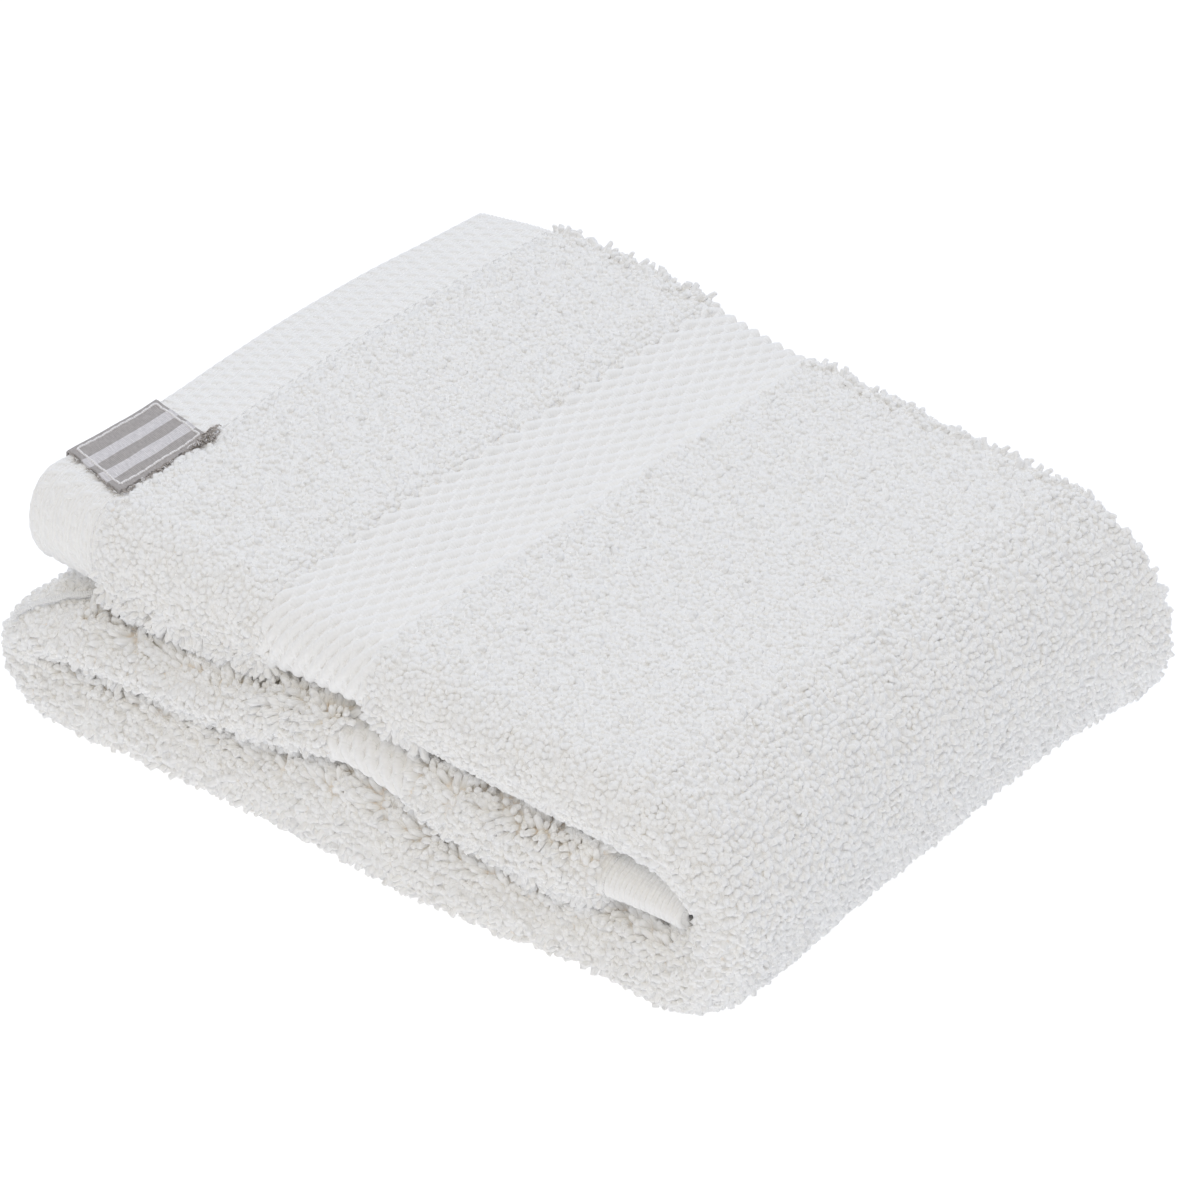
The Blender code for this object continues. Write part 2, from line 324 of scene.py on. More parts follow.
def lay_out(found):
    """The outward and inward face of the cloth, as arrays of section by column, and its length."""
    y = np.array([STACK_SETTLES])
    along = lengths_along([np.mean(faces(y), axis=0).ravel() for faces, *_ in found])
    sides = ([], [])
    for (faces, thick, _, _), share in zip(found, along / along[-1]):
        edges = [
            smooth_rows(LONG_EDGES["share"], LONG_EDGES[name], share)
            for name in ("front", "outer_edge", "inner_edge")
        ]
        inset = (TERRY - thick) / 2
        depth = NOSE_DEPTH - inset
        for side, reached in ((0, depth), (1, max(depth - thick, NOSE_ROOM))):
            y, rise = cross_columns(*edges, reached)
            (x_out, z_out), (x_in, z_in) = faces(y)
            room = np.hypot(x_out - x_in, z_out - z_in)
            fullest = np.minimum(TERRY, (room - PLY_GAP) / 2)
            here = np.minimum(thick, fullest)
            share_in = 0.5 - rise * (0.5 - ((fullest - here) / 2 + side * here) / room)
            x = x_out + (x_in - x_out) * share_in
            z = z_out + (z_in - z_out) * share_in
            sides[side].append(np.stack([x, y, z], axis=1))
    return np.array(sides[0]), np.array(sides[1]), along[-1]


outward, inward, cloth_length = lay_out(sections)
low, high = outward.min(axis=(0, 1)), outward.max(axis=(0, 1))
origin = np.array([(low[0] + high[0]) / 2, (low[1] + high[1]) / 2, low[2]])
outward, inward = outward - origin, inward - origin
print("the cloth is", round(cloth_length / MM), "mm long, and its box differs from the frame's by, in mm:",
      np.round((high - low - np.array(towel_high - towel_low)) / MM, 2))

# %% Respace both faces to one millimetre


def spaced(line, count):
    """Fractional places along a polyline that divide its length evenly."""
    along = lengths_along(line)
    return np.interp(np.linspace(0, along[-1], count), along, np.arange(len(line)))


def between(values, places):
    """Values of an array's rows at fractional places."""
    k = np.clip(places.astype(int), 0, len(values) - 2)
    t = (places - k).reshape(-1, *[1] * (values.ndim - 1))
    return values[k] * (1 - t) + values[k + 1] * t


OUTER_PLY = FLAT_STEPS // 2  # a column in the middle of the outer ply, before the respacing
NOSE_TIP = FLAT_STEPS + NOSE_STEPS // 2  # the column along the tip of the long fold, before it
from_ends = np.array([from_end for *_, from_end, _ in sections])
zones = np.array([zone for *_, zone in sections])
ROWS = int(round(lengths_along(outward[:, OUTER_PLY])[-1] / CELL)) + 1
row_places = spaced(outward[:, OUTER_PLY], ROWS)
from_end_of = between(from_ends, row_places) / MM
zone_of = zones[np.round(row_places).astype(int)]
both = between(np.concatenate([outward, inward], axis=2), row_places)
COLUMNS = int(round(np.mean([lengths_along(row)[-1] for row in both[:, :, :3]]) / CELL)) + 1
noses, grid = [], []
for row in both:
    places = spaced(row[:, :3], COLUMNS)
    noses.append(np.interp(NOSE_TIP, places, np.arange(COLUMNS)))
    grid.append(between(row, places))
grid = np.array(grid)
tips_out, tips_in = grid[:, :, :3], grid[:, :, 3:]
LAST = COLUMNS - 1
NOSE = int(round(np.mean(noses)))
print("the grid has", ROWS, "rows along the cloth and", COLUMNS, "columns across it")

# %% A place on the cloth
middle_grid = (tips_out + tips_in) / 2
up_grid = (tips_out - tips_in) / 2
half_grid = np.linalg.norm(up_grid, axis=2)
up_grid = up_grid / half_grid[:, :, None]


def on_grid(values, row, column):
    """Values of a grid at fractional rows and columns, in millimetres on the cloth."""
    row, column = np.broadcast_arrays(np.asarray(row, float), np.asarray(column, float))
    i = np.clip(row.astype(int), 0, ROWS - 2)
    j = np.clip(column.astype(int), 0, COLUMNS - 2)
    s, t = np.clip(row - i, 0, 1), np.clip(column - j, 0, 1)
    if values.ndim == 3:
        s, t = s[..., None], t[..., None]
    return (
        values[i, j] * (1 - s) * (1 - t) + values[i + 1, j] * s * (1 - t)
        + values[i, j + 1] * (1 - s) * t + values[i + 1, j + 1] * s * t
    )


def on_cloth(row, column, rise):
    """Points at a rise, in metres, over the middle of the cloth towards its outward face."""
    rise = np.broadcast_to(np.asarray(rise, float), np.broadcast(row, column).shape)
    return on_grid(middle_grid, row, column) + on_grid(up_grid, row, column) * rise[..., None]


def smooth_noise(row, column, size, seed):
    """Soft noise from -1 to 1 over the cloth, with patches of about the size in millimetres."""
    rng = np.random.default_rng(seed)
    total = np.zeros(np.broadcast(row, column).shape)
    for _ in range(6):
        heading, phase = rng.uniform(0, 2 * np.pi, 2)
        wave = rng.uniform(0.7, 1.4) * 2 * np.pi / size
        total += np.sin(wave * (row * np.cos(heading) + column * np.sin(heading)) + phase)
    return total / 3.5


print("half the cloth's thickness runs from", round(half_grid.min() / MM, 2), "to",
      round(half_grid.max() / MM, 2), "mm")

# %% [markdown]
# ## The woven ground
# Under the loops lies a flat cotton weave. It could be the solid model with a finer mesh, but the
# loops need something thin to grow from. So it is a closed sheet of its own, laid along the middle of
# the grid: thin under the pile, thicker at the border and the hems, and rounded at its edges. Each
# long edge is turned in by 7 mm and sewn, as a maker does, so it is thicker on the inward face.

# %% Make the ground sheet
GROUND_DEPTH = 1.0 * MM  # from the tips of the pile down to the matted body of the cloth
GROUND_HALF = 1.6 * MM
BORDER_HALF = 2.0 * MM
HEM_HALF = 1.25 * MM
SIDE_TURN = 7.0  # mm of cloth turned in along each long edge
SIDE_TURN_THICK = 0.9 * MM
EDGE_ROUND = 1.2  # mm over which an edge is rounded
NEAR_END = np.array([0, 0.3, 0.7, 1.2, 2])  # rows that round an end
NEAR_SIDE = np.array([0, 0.3, 0.7, 1.2, 3, 6.4, 7.6])  # columns that round a side and step to its turn
GROUND_CELLS = (4.0, 3.5)  # mm along and across the cloth


def rounded(from_edge):
    """Share of its full thickness that a rounded edge has at a distance in mm from it."""
    return np.sqrt(np.clip(1 - (1 - np.clip(from_edge / EDGE_ROUND, 0.05, 1)) ** 2, 0, 1))


def place_of(row):
    """Distance of a row of the grid from the nearer end of the cloth, in mm."""
    return np.interp(row, np.arange(ROWS), from_end_of)


def row_at(place, zone):
    """The row of the grid at a distance in mm from the end of the cloth in the top or middle zone."""
    rows = np.flatnonzero(zone_of == zone)
    if zone == MIDDLE:
        rows = rows[::-1]
    return np.interp(place, from_end_of[rows], rows)


def border_share(row):
    """1 in a woven border and 0 elsewhere, with a soft step at its ends, for rows of the grid."""
    place = place_of(row)
    end = np.where(np.asarray(row) < ROWS / 2, TOP_BORDER[1], INNER_BORDER[1]) / MM
    return ease(place - TOP_BORDER[0] / MM + 0.5) * ease(end + 0.5 - place)


def hem_share(row):
    return ease(HEM_END / MM + 0.5 - place_of(row))


def new_object(name, points, faces, edges=()):
    mesh = bpy.data.meshes.new(name)
    mesh.from_pydata(np.asarray(points).tolist(), list(edges), faces)
    made = bpy.data.objects.new(name, mesh)
    bpy.context.scene.collection.objects.link(made)
    return made


def closed_sheet(name, outer, inner, lengths):
    """A closed sheet between two grids, with a UV map from the lengths across and along it."""
    rows, columns = outer.shape[:2]
    index = np.arange(2 * rows * columns).reshape(2, rows, columns)
    front = index[0]
    quads = np.stack([front[:-1, :-1], front[:-1, 1:], front[1:, 1:], front[1:, :-1]], axis=-1)
    back = quads[..., ::-1] + rows * columns
    rim = np.concatenate([
        front[:, 0], front[-1, 1:], front[-2::-1, -1], front[0, -2:0:-1],
    ])
    ahead = np.roll(rim, -1)
    sides = np.stack([rim, ahead, ahead + rows * columns, rim + rows * columns], axis=-1)
    faces = np.concatenate([quads.reshape(-1, 4), back.reshape(-1, 4), sides])
    points = np.concatenate([outer.reshape(-1, 3), inner.reshape(-1, 3)])
    made = new_object(name, points, faces.tolist())
    flat = np.stack(np.meshgrid(*lengths), axis=-1).reshape(-1, 2)
    flat = np.concatenate([flat, flat])[faces.ravel()]
    made.data.uv_layers.new(name="UVMap").data.foreach_set("uv", flat.ravel())
    made.data.shade_smooth()
    return made


def face_outwards(made):
    """Turns a closed mesh the right way round if its volume comes out negative."""
    mesh = made.data
    mesh.calc_loop_triangles()
    corners = np.array([mesh.vertices[v].co for t in mesh.loop_triangles for v in t.vertices])
    a, b, c = corners.reshape(-1, 3, 3).transpose(1, 0, 2)
    if np.einsum("ij,ij->i", a, np.cross(b, c)).sum() < 0:
        mesh.flip_normals()


top_steps = [row_at(place / MM, TOP) for place in (HEM_END, *TOP_BORDER)]
inner_steps = [row_at(place / MM, MIDDLE) for place in (HEM_END, *INNER_BORDER)]
ground_rows = np.unique(np.round(np.concatenate([
    NEAR_END, np.arange(0, ROWS - 1, GROUND_CELLS[0]), ROWS - 1 - NEAR_END,
    *[[step - 1, step - 0.3, step + 0.3, step + 1] for step in top_steps + inner_steps],
]), 2))
ground_columns = np.unique(np.concatenate([
    NEAR_SIDE, np.arange(10, COLUMNS - 9, GROUND_CELLS[1]), LAST - NEAR_SIDE]))
rows, columns = np.meshgrid(ground_rows, ground_columns, indexing="ij")
half = np.maximum(on_grid(half_grid, rows, columns) - GROUND_DEPTH, GROUND_HALF)
half += (BORDER_HALF - half) * border_share(rows)
half += (HEM_HALF - half) * hem_share(rows)
from_side = np.minimum(columns, LAST - columns)
turned_in = SIDE_TURN_THICK * ease(SIDE_TURN + 0.5 - from_side) * (1 - hem_share(rows))
rounding = rounded(np.minimum(from_side, np.minimum(rows, ROWS - 1 - rows)))
ground = closed_sheet(
    "towel_ground",
    on_cloth(rows, columns, half * rounding),
    on_cloth(rows, columns, -(half + turned_in) * rounding),
    (ground_columns * MM, ground_rows * MM),
)
face_outwards(ground)
print("ground sheet:", len(ground.data.polygons), "faces")

# %% [markdown]
# ## Bleached cotton
# Ground, loops, border and hems are spun from the same bleached cotton, so they share one white. What
# sets them apart is how the yarn lies, and that is mostly shape. The materials add what is too fine
# to model: the twist of the yarn, the weave of the ground, and a soft sheen from loose fibres. The
# roots of the pile are painted a little warmer and darker: painted shade, for the warmer light that comes
# back from deep in cotton.

# %% Cotton for the loops
WHITE_WARM = "#FBFAF8"
WHITE_COOL = "#FAFAFA"
# painted shade: the warmer, darker colour at the roots of the loops, deep in the pile
ROOT_PAINTED_SHADE = "#F4EBE0"
YARN_TWIST = 1.1 * MM  # length of one turn of the two-ply pile yarn
LOOP_YARN = 4 * MM  # length of the yarn that shows in one loop


def new_material(name, roughness, sheen):
    """A material for matt cloth, thread or paper, with its tree and its shader."""
    made = bpy.data.materials.new(name)
    made.use_nodes = True
    shader = made.node_tree.nodes["Principled BSDF"]
    shader.inputs["Roughness"].default_value = roughness
    shader.inputs["Specular IOR Level"].default_value = 0.25
    shader.inputs["Sheen Weight"].default_value = sheen
    shader.inputs["Sheen Roughness"].default_value = 0.5
    return made, made.node_tree, shader


def colour_and_bump(tree, shader, colour, height, distance):
    bump = add_node(tree, "ShaderNodeBump", {"Strength": 1.0, "Distance": distance, "Height": height})
    tree.links.new(colour, shader.inputs["Base Color"])
    tree.links.new(bump.outputs["Normal"], shader.inputs["Normal"])


def uv_axes(tree):
    """The piece's UV map and its axes, which run across and along cloth, or round and up a loop."""
    uv = add_node(tree, "ShaderNodeUVMap", uv_map="UVMap").outputs["UV"]
    return uv, add_node(tree, "ShaderNodeSeparateXYZ", {"Vector": uv}).outputs


def ripples(tree, run, length, shift=0.0):
    """A sine wave of that length along a run, moved on by a shift in radians."""
    phase = add_node(tree, "ShaderNodeMath", {
        0: run, 1: 2 * np.pi / length, 2: shift}, operation="MULTIPLY_ADD")
    return add_node(tree, "ShaderNodeMath", {0: phase.outputs[0]}, operation="SINE").outputs[0]


def fibres(tree, size, detail):
    """Noise in the piece's own space, with grains of that size."""
    place = add_node(tree, "ShaderNodeTexCoord")
    return add_node(tree, "ShaderNodeTexNoise", {
        "Vector": place.outputs["Object"], "Scale": 1 / size, "Detail": detail}).outputs["Fac"]


# Two-ply ring-spun cotton in long loops: matt, with a fine diagonal twist, a soft fuzzy edge, and painted
# shade at the root of each loop.
def looped_cotton():
    made, tree, shader = new_material("cotton_pile_looped", 0.95, 0.6)
    _, axes = uv_axes(tree)
    tint = add_node(tree, "ShaderNodeAttribute", attribute_name="tint")
    tip = add_node(tree, "ShaderNodeMix", {
        "Factor": tint.outputs["Fac"], 6: linear(WHITE_WARM), 7: linear(WHITE_COOL)}, data_type="RGBA")
    # Painted shade: the colour runs from the painted root shade near the foot of each loop to the tip
    # colour above.
    up = add_node(tree, "ShaderNodeMapRange", {
        "Value": axes["Y"], "From Min": 0.05, "From Max": 0.4}, interpolation_type="SMOOTHSTEP")
    colour = add_node(tree, "ShaderNodeMix", {
        "Factor": up.outputs["Result"], 6: linear(ROOT_PAINTED_SHADE), 7: tip.outputs[2]}, data_type="RGBA")
    turns = LOOP_YARN / YARN_TWIST
    run = add_node(tree, "ShaderNodeMath", {0: axes["Y"], 1: 2 * np.pi * turns}, operation="MULTIPLY")
    twist = ripples(tree, axes["X"], 0.5, run.outputs[0])
    colour_and_bump(tree, shader, colour.outputs[2], twist, 0.015 * MM)
    return made


pile_cotton = looped_cotton()
print("materials:", pile_cotton.name)

# %% Cotton for the ground and for laid yarns
THREAD = 0.65 * MM  # spacing of the ground's warp and weft
NUB = 1.4 * MM  # size of its nubs, about twice the real one, so that they show
WRAP = 0.75 * MM  # spacing of the fine weft that binds the ribs of the border and the hems


# Plain-woven cotton: warp and weft pass over each other in turn, so every thread shows as a bead. Short
# fibres make it nubbly, which is all that shows of it where it turns over an edge.
def woven_cotton():
    made, tree, shader = new_material("cotton_ground_plain_woven", 0.92, 0.2)
    uv, axes = uv_axes(tree)
    warp, weft = (ripples(tree, axes[axis], 2 * THREAD) for axis in ("X", "Y"))
    over = add_node(tree, "ShaderNodeMath", {0: warp, 1: weft}, operation="MULTIPLY")
    beads = add_node(tree, "ShaderNodeMath", {0: over.outputs[0]}, operation="ABSOLUTE")
    slubs = add_node(tree, "ShaderNodeTexNoise", {"Vector": uv, "Scale": 1 / (4 * MM), "Detail": 2.0})
    colour = add_node(tree, "ShaderNodeMix", {
        "Factor": slubs.outputs["Fac"], 6: linear(WHITE_WARM), 7: linear(WHITE_COOL)},
        data_type="RGBA")
    from_side = add_node(tree, "ShaderNodeMath", {
        0: axes["X"], 1: LAST * MM / 2}, operation="PINGPONG")
    nubby = add_node(tree, "ShaderNodeMapRange", {
        "Value": from_side.outputs[0], "From Max": SIDE_TURN * MM, "To Min": 5.0, "To Max": 0.0})
    height = add_node(tree, "ShaderNodeMath", {
        0: fibres(tree, NUB, 3.0), 1: nubby.outputs["Result"], 2: beads.outputs[0]},
        operation="MULTIPLY_ADD")
    colour_and_bump(tree, shader, colour.outputs[2], height.outputs[0], 0.1 * MM)
    return made


# Cotton yarn laid in ribs and bound by a fine weft: smoother and a touch brighter than the pile.
def laid_cotton(name, wrap, depth, white):
    made, tree, shader = new_material(name, 0.85, 0.15)
    along = add_node(tree, "ShaderNodeAttribute", attribute_name="along")
    lint = fibres(tree, 1.5 * MM, 3.0)
    wander = add_node(tree, "ShaderNodeMath", {0: lint, 1: 2.5}, operation="MULTIPLY")
    wraps = ripples(tree, along.outputs["Fac"], wrap, wander.outputs[0])
    colour = add_node(tree, "ShaderNodeMix", {
        "Factor": lint, 6: linear(white), 7: linear(WHITE_COOL)}, data_type="RGBA")
    colour_and_bump(tree, shader, colour.outputs[2], wraps, depth)
    return made


ground_cotton = woven_cotton()
rib_cotton = laid_cotton("cotton_rib_woven", WRAP, 0.02 * MM, WHITE_WARM)
sewing_cotton = laid_cotton("cotton_sewing_thread", 0.5 * MM, 0.06 * MM, WHITE_COOL)
ground.data.materials.append(ground_cotton)
print("materials:", ground_cotton.name, rib_cotton.name, sewing_cotton.name)

# %% [markdown]
# ## How a pile is made
# A hair system could grow the loops, but hairs are strands, and terry is made of round soft loops
# that nearly touch. Geometry Nodes put a small loop on each point instead. A loop is a stubby, bent
# finger of 8 to 15 faces: from outside, the two legs of a real loop look like one. A few shapes,
# turned and stretched at random, are enough for thousands.

# %% Loop shapes
FULL_RINGS = ((0.0, 0.44), (0.55, 0.47), (0.93, 0.37))  # height and radius
TOP_RINGS = ((0.0, 0.46), (0.8, 0.43))
LIGHT_RINGS = ((0.0, 0.45), (0.84, 0.45))
BENDS = ((0.3, -0.1), (-0.3, -0.25), (0.15, 0.15), (-0.1, -0.35))  # aside and towards the cloth


def loop_shape(name, sides, rings, bend):
    """A loop of unit height and width that stands on the origin, with u around it and v up it."""
    angle = np.arange(sides) * 2 * np.pi / sides
    points = []
    for height, radius in rings:
        sway = np.array(bend) * height ** 2
        ring = np.stack([np.cos(angle), np.sin(angle)], axis=1) * radius + sway
        points += [(*place, height) for place in ring]
    points.append((*bend, 1.0))
    faces, uvs = [], []
    for level, (v, _) in enumerate(rings):
        here, above = level * sides, (level + 1) * sides
        for side in range(sides):
            ahead = (side + 1) % sides
            left, right = side / sides, (side + 1) / sides
            if level + 1 < len(rings):
                v_up = rings[level + 1][0]
                faces.append((here + side, here + ahead, above + ahead, above + side))
                uvs += [(left, v), (right, v), (right, v_up), (left, v_up)]
            else:
                faces.append((here + side, here + ahead, above))
                uvs += [(left, v), (right, v), ((left + right) / 2, 1.0)]
    made = new_object(name, points, faces)
    made.data.uv_layers.new(name="UVMap").data.foreach_set("uv", np.array(uvs).ravel())
    made.data.shade_smooth()
    return made


def loop_set(name, sides, rings):
    """A collection of loop shapes that stays out of the scene."""
    group = bpy.data.collections.new(name)
    for count, bend in enumerate(BENDS):
        made = loop_shape(f"{name}_{count}", sides, rings, bend)
        bpy.context.scene.collection.objects.unlink(made)
        group.objects.link(made)
    return group


full_loops = loop_set("loop_full", 5, FULL_RINGS)
top_loops = loop_set("loop_top", 5, TOP_RINGS)
light_loops = loop_set("loop_light", 4, LIGHT_RINGS)

# %% The pile tree
LOOP_FACTS = (("stand", "FLOAT_VECTOR"), ("up", "FLOAT_VECTOR"), ("height", "FLOAT"))
LOOP_TURN = (-0.35, 0.35)  # radians about its own length
LOOP_SIZE = (0.85, 1.18)


def new_tree(name, inputs):
    """A geometry tree with named inputs, and the sockets that carry them."""
    tree = bpy.data.node_groups.new(name, "GeometryNodeTree")
    tree.interface.new_socket("Geometry", in_out="INPUT", socket_type="NodeSocketGeometry")
    for title, kind in inputs:
        tree.interface.new_socket(title, in_out="INPUT", socket_type="NodeSocket" + kind)
    tree.interface.new_socket("Geometry", in_out="OUTPUT", socket_type="NodeSocketGeometry")
    return tree, tree.nodes.new("NodeGroupInput").outputs


def finish_tree(tree, geometry, material):
    """Ends a tree: real geometry, with its material."""
    real = add_node(tree, "GeometryNodeRealizeInstances", {"Geometry": geometry})
    coloured = add_node(tree, "GeometryNodeSetMaterial", {
        "Geometry": real.outputs[0], "Material": material})
    add_node(tree, "NodeGroupOutput", {0: coloured.outputs[0]})
    return tree


def pile_tree():
    tree, given = new_tree("terry_pile", [
        ("Loops", "Collection"), ("Loop width", "Float"), ("Loop flatness", "Float"),
        ("Seed", "Int"), ("Material", "Material"),
    ])
    loops = add_node(tree, "GeometryNodeCollectionInfo", {
        "Collection": given["Loops"], "Separate Children": True, "Reset Children": True})
    shape = add_node(tree, "FunctionNodeRandomValue", {
        4: 0, 5: len(BENDS) - 1, "Seed": given["Seed"]}, data_type="INT")
    turn, size, tint = (
        add_node(tree, "FunctionNodeRandomValue", {
            2: least, 3: most, "Seed": given["Seed"]}, data_type="FLOAT").outputs[1]
        for least, most in (LOOP_TURN, LOOP_SIZE, (0, 1)))
    stand, up, height = (
        add_node(tree, "GeometryNodeInputNamedAttribute", {"Name": name}, data_type=kind).outputs[0]
        for name, kind in LOOP_FACTS)
    upright = add_node(tree, "FunctionNodeAlignRotationToVector", {"Vector": stand}, axis="Z")
    flat_up = add_node(tree, "FunctionNodeAlignRotationToVector", {
        "Rotation": upright.outputs[0], "Vector": up}, axis="Y", pivot_axis="Z")
    spin = add_node(tree, "FunctionNodeAxisAngleToRotation", {"Angle": turn})
    turned = add_node(tree, "FunctionNodeRotateRotation", {
        "Rotation": flat_up.outputs[0], "Rotate By": spin.outputs[0]}, rotation_space="LOCAL")
    width = add_node(tree, "ShaderNodeMath", {0: size, 1: given["Loop width"]}, operation="MULTIPLY")
    depth = add_node(tree, "ShaderNodeMath", {
        0: width.outputs[0], 1: given["Loop flatness"]}, operation="MULTIPLY")
    scale = add_node(tree, "ShaderNodeCombineXYZ", {
        "X": width.outputs[0], "Y": depth.outputs[0], "Z": height})
    placed = add_node(tree, "GeometryNodeInstanceOnPoints", {
        "Points": given["Geometry"], "Instance": loops.outputs[0], "Pick Instance": True,
        "Instance Index": shape.outputs[2], "Rotation": turned.outputs[0],
        "Scale": scale.outputs[0]})
    tinted = add_node(tree, "GeometryNodeStoreNamedAttribute", {
        "Geometry": placed.outputs[0], "Name": "tint", "Value": tint},
        data_type="FLOAT", domain="INSTANCE")
    return finish_tree(tree, tinted.outputs[0], given["Material"])


def made_by(tree, name, points, inputs):
    """Runs a geometry tree on an object of points or lines, and keeps its result as a mesh."""
    modifier = points.modifiers.new("make", "NODES")
    modifier.node_group = tree
    for item in tree.interface.items_tree:
        if item.in_out == "INPUT" and item.name in inputs:
            modifier[item.identifier] = inputs[item.name]
    graph = bpy.context.evaluated_depsgraph_get()
    mesh = bpy.data.meshes.new_from_object(points.evaluated_get(graph), depsgraph=graph)
    points.modifiers.remove(modifier)
    bpy.data.objects.remove(points)
    mesh.name = name
    made = bpy.data.objects.new(name, mesh)
    bpy.context.scene.collection.objects.link(made)
    return made


terry_tree = pile_tree()
print("pile tree:", len(terry_tree.nodes), "nodes")

# %% [markdown]
# ## Where the loops stand
# On the loom the loops stand in rows, but washing shakes them about. So the points are a staggered
# grid with some jitter, and the loops lean in soft drifts, with a little of their own will. Where the
# folds squeeze the cloth, fewer loops reach the surface. Deep between the layers the loops are
# longer, because the real ones spread into that room, and a few taller tufts stand out at the folds
# and edges, where the outline shows them. Only faces that can be seen get their pile: the outside of
# the stack, the folds, the open edges and the mouth of the top layer.

# %% Loop points
PITCH = 1.3  # mm between loops
JITTER = 0.12  # how far a loop strays from its place, as a share of the pitch
LOOP_WIDTH = 1.9 * MM  # wider than the pitch, so that loops press into each other
LOOP_FLATNESS = 0.85
LOOP_DEPTH = 2.0 * MM  # from the tip of a loop down to its foot, which is in the matted body
DRIFT = 14  # mm, the size of a patch in which the loops lean one way
SWELL = 9  # mm, the size of a patch in which they stand out or lie low
FRAYED_EDGE = 11  # mm, the size of the waves in the pile's edge
CROWDING = 1.15  # loops that stay where the cloth is squeezed, for each one that has room


def flat_share(row):
    """1 where the cloth has no pile, in its border and hems."""
    return border_share(row) + hem_share(row)


def loop_points(name, rows, columns, seed, side=1, pitch=PITCH, lean=(0.3, 0.9), lift=0.15,
                proud=0.06, longer=0.0, tall=0.0, width=LOOP_WIDTH):
    """Points for the loops in a patch of the cloth's outward (1) or inward (-1) face.

    The loops stand out by up to tall mm more, and by longer mm more deep between the layers.
    """
    rng = np.random.default_rng(seed)
    places = []
    for count, line in enumerate(np.arange(rows[0] + pitch / 2, rows[1], pitch)):
        across = np.arange(columns[0] + pitch * (0.25 + count % 2 / 2), columns[1], pitch)
        places.append(np.stack([np.full_like(across, line), across], axis=1))
    places = np.concatenate(places)
    row, column = (places + rng.uniform(-JITTER, JITTER, places.shape) * pitch).T
    row, column = np.clip(row, 0.6, ROWS - 1.6), np.clip(column, 0.8, LAST - 0.8)

    # Which loops stay: those on the pile's own ground, as many as have room there.
    face = tips_out if side > 0 else tips_in
    along = on_grid(face, row + 1, column) - on_grid(face, row - 1, column)
    across = on_grid(face, row, column + 1) - on_grid(face, row, column - 1)
    room = np.linalg.norm(np.cross(along, across), axis=1) / (2 * CELL) ** 2
    stray = 0.9 * smooth_noise(row, column, FRAYED_EDGE, seed + 4) + rng.uniform(-0.7, 0.7, len(row))
    plain = flat_share(row + stray) < 0.5
    if side < 0:
        plain &= np.minimum(column, LAST - column) > SIDE_TURN + 0.8
    keep = plain & (rng.uniform(0, 1, len(row)) < room * CROWDING)
    row, column, along, across = row[keep], column[keep], along[keep], across[keep]

    # How they stand: upright, leaning with their drift, and over the edge of a flat band beside them.
    for direction in (along, across):
        direction /= np.linalg.norm(direction, axis=1)[:, None] + 1e-9
    up = on_grid(up_grid, row, column) * side
    up /= np.linalg.norm(up, axis=1)[:, None]
    drift = np.pi * smooth_noise(row, column, DRIFT, seed + 1) + rng.normal(0, 0.5, len(row))
    tilt = rng.uniform(*lean, len(row)) * (0.9 + 0.15 * smooth_noise(row, column, DRIFT, seed + 2))
    stand = up + tilt[:, None] * (along * np.cos(drift)[:, None] + across * np.sin(drift)[:, None])
    stand += along * (0.6 * (flat_share(row + 2.5) - flat_share(row - 2.5)))[:, None]
    stretch = np.linalg.norm(stand, axis=1)

    # How far they reach, over the middle of the cloth.
    tip = on_grid(half_grid, row, column)
    tip += (lift * smooth_noise(row, column, SWELL, seed + 3) + rng.normal(0, proud, len(row))) * MM
    foot = tip - LOOP_DEPTH
    tip += longer * ease((np.abs(column - NOSE) - 5) / 5) * MM
    tip += tall * rng.uniform(0.3, 1, len(row)) * MM
    tip -= width * 0.2
    made = new_object(name + "_points", on_cloth(row, column, foot * side), [])
    facts = (stand / stretch[:, None], up, (tip - foot) * stretch)
    for (title, kind), values in zip(LOOP_FACTS, facts):
        data = made.data.attributes.new(title, kind, "POINT").data
        data.foreach_set("vector" if kind == "FLOAT_VECTOR" else "value", values.ravel())
    return made


def triangles(made):
    return sum(len(face.vertices) - 2 for face in made.data.polygons)


def pile(name, patches, loops, seed, width=LOOP_WIDTH):
    """One piece of pile, made from patches of loop points."""
    parts = []
    for count, patch in enumerate(patches):
        points = loop_points(f"{name}_{count}", seed=seed + 10 * count, **patch)
        parts.append(made_by(terry_tree, f"{name}_{count}", points, {
            "Loops": loops, "Loop width": width, "Loop flatness": LOOP_FLATNESS,
            "Seed": seed + count, "Material": pile_cotton}))
    made = joined(name, parts)
    places = np.empty(len(made.data.vertices) * 3)
    made.data.vertices.foreach_get("co", places)
    places[2::3] = np.maximum(places[2::3], 0)  # the floor presses the loops under the towel flat
    made.data.vertices.foreach_set("co", places)
    print(name, "has", triangles(made), "triangles")
    return made


def joined(name, parts):
    """Joins mesh objects that share a material into the first of them."""
    if len(parts) > 1:
        with bpy.context.temp_override(
            active_object=parts[0], selected_editable_objects=parts, object=parts[0]
        ):
            bpy.ops.object.join()
    parts[0].name = parts[0].data.name = name
    return parts[0]


# %% Grow the pile
def rows_of(zone):
    rows = np.flatnonzero(zone_of == zone)
    return rows[0], rows[-1] + 1


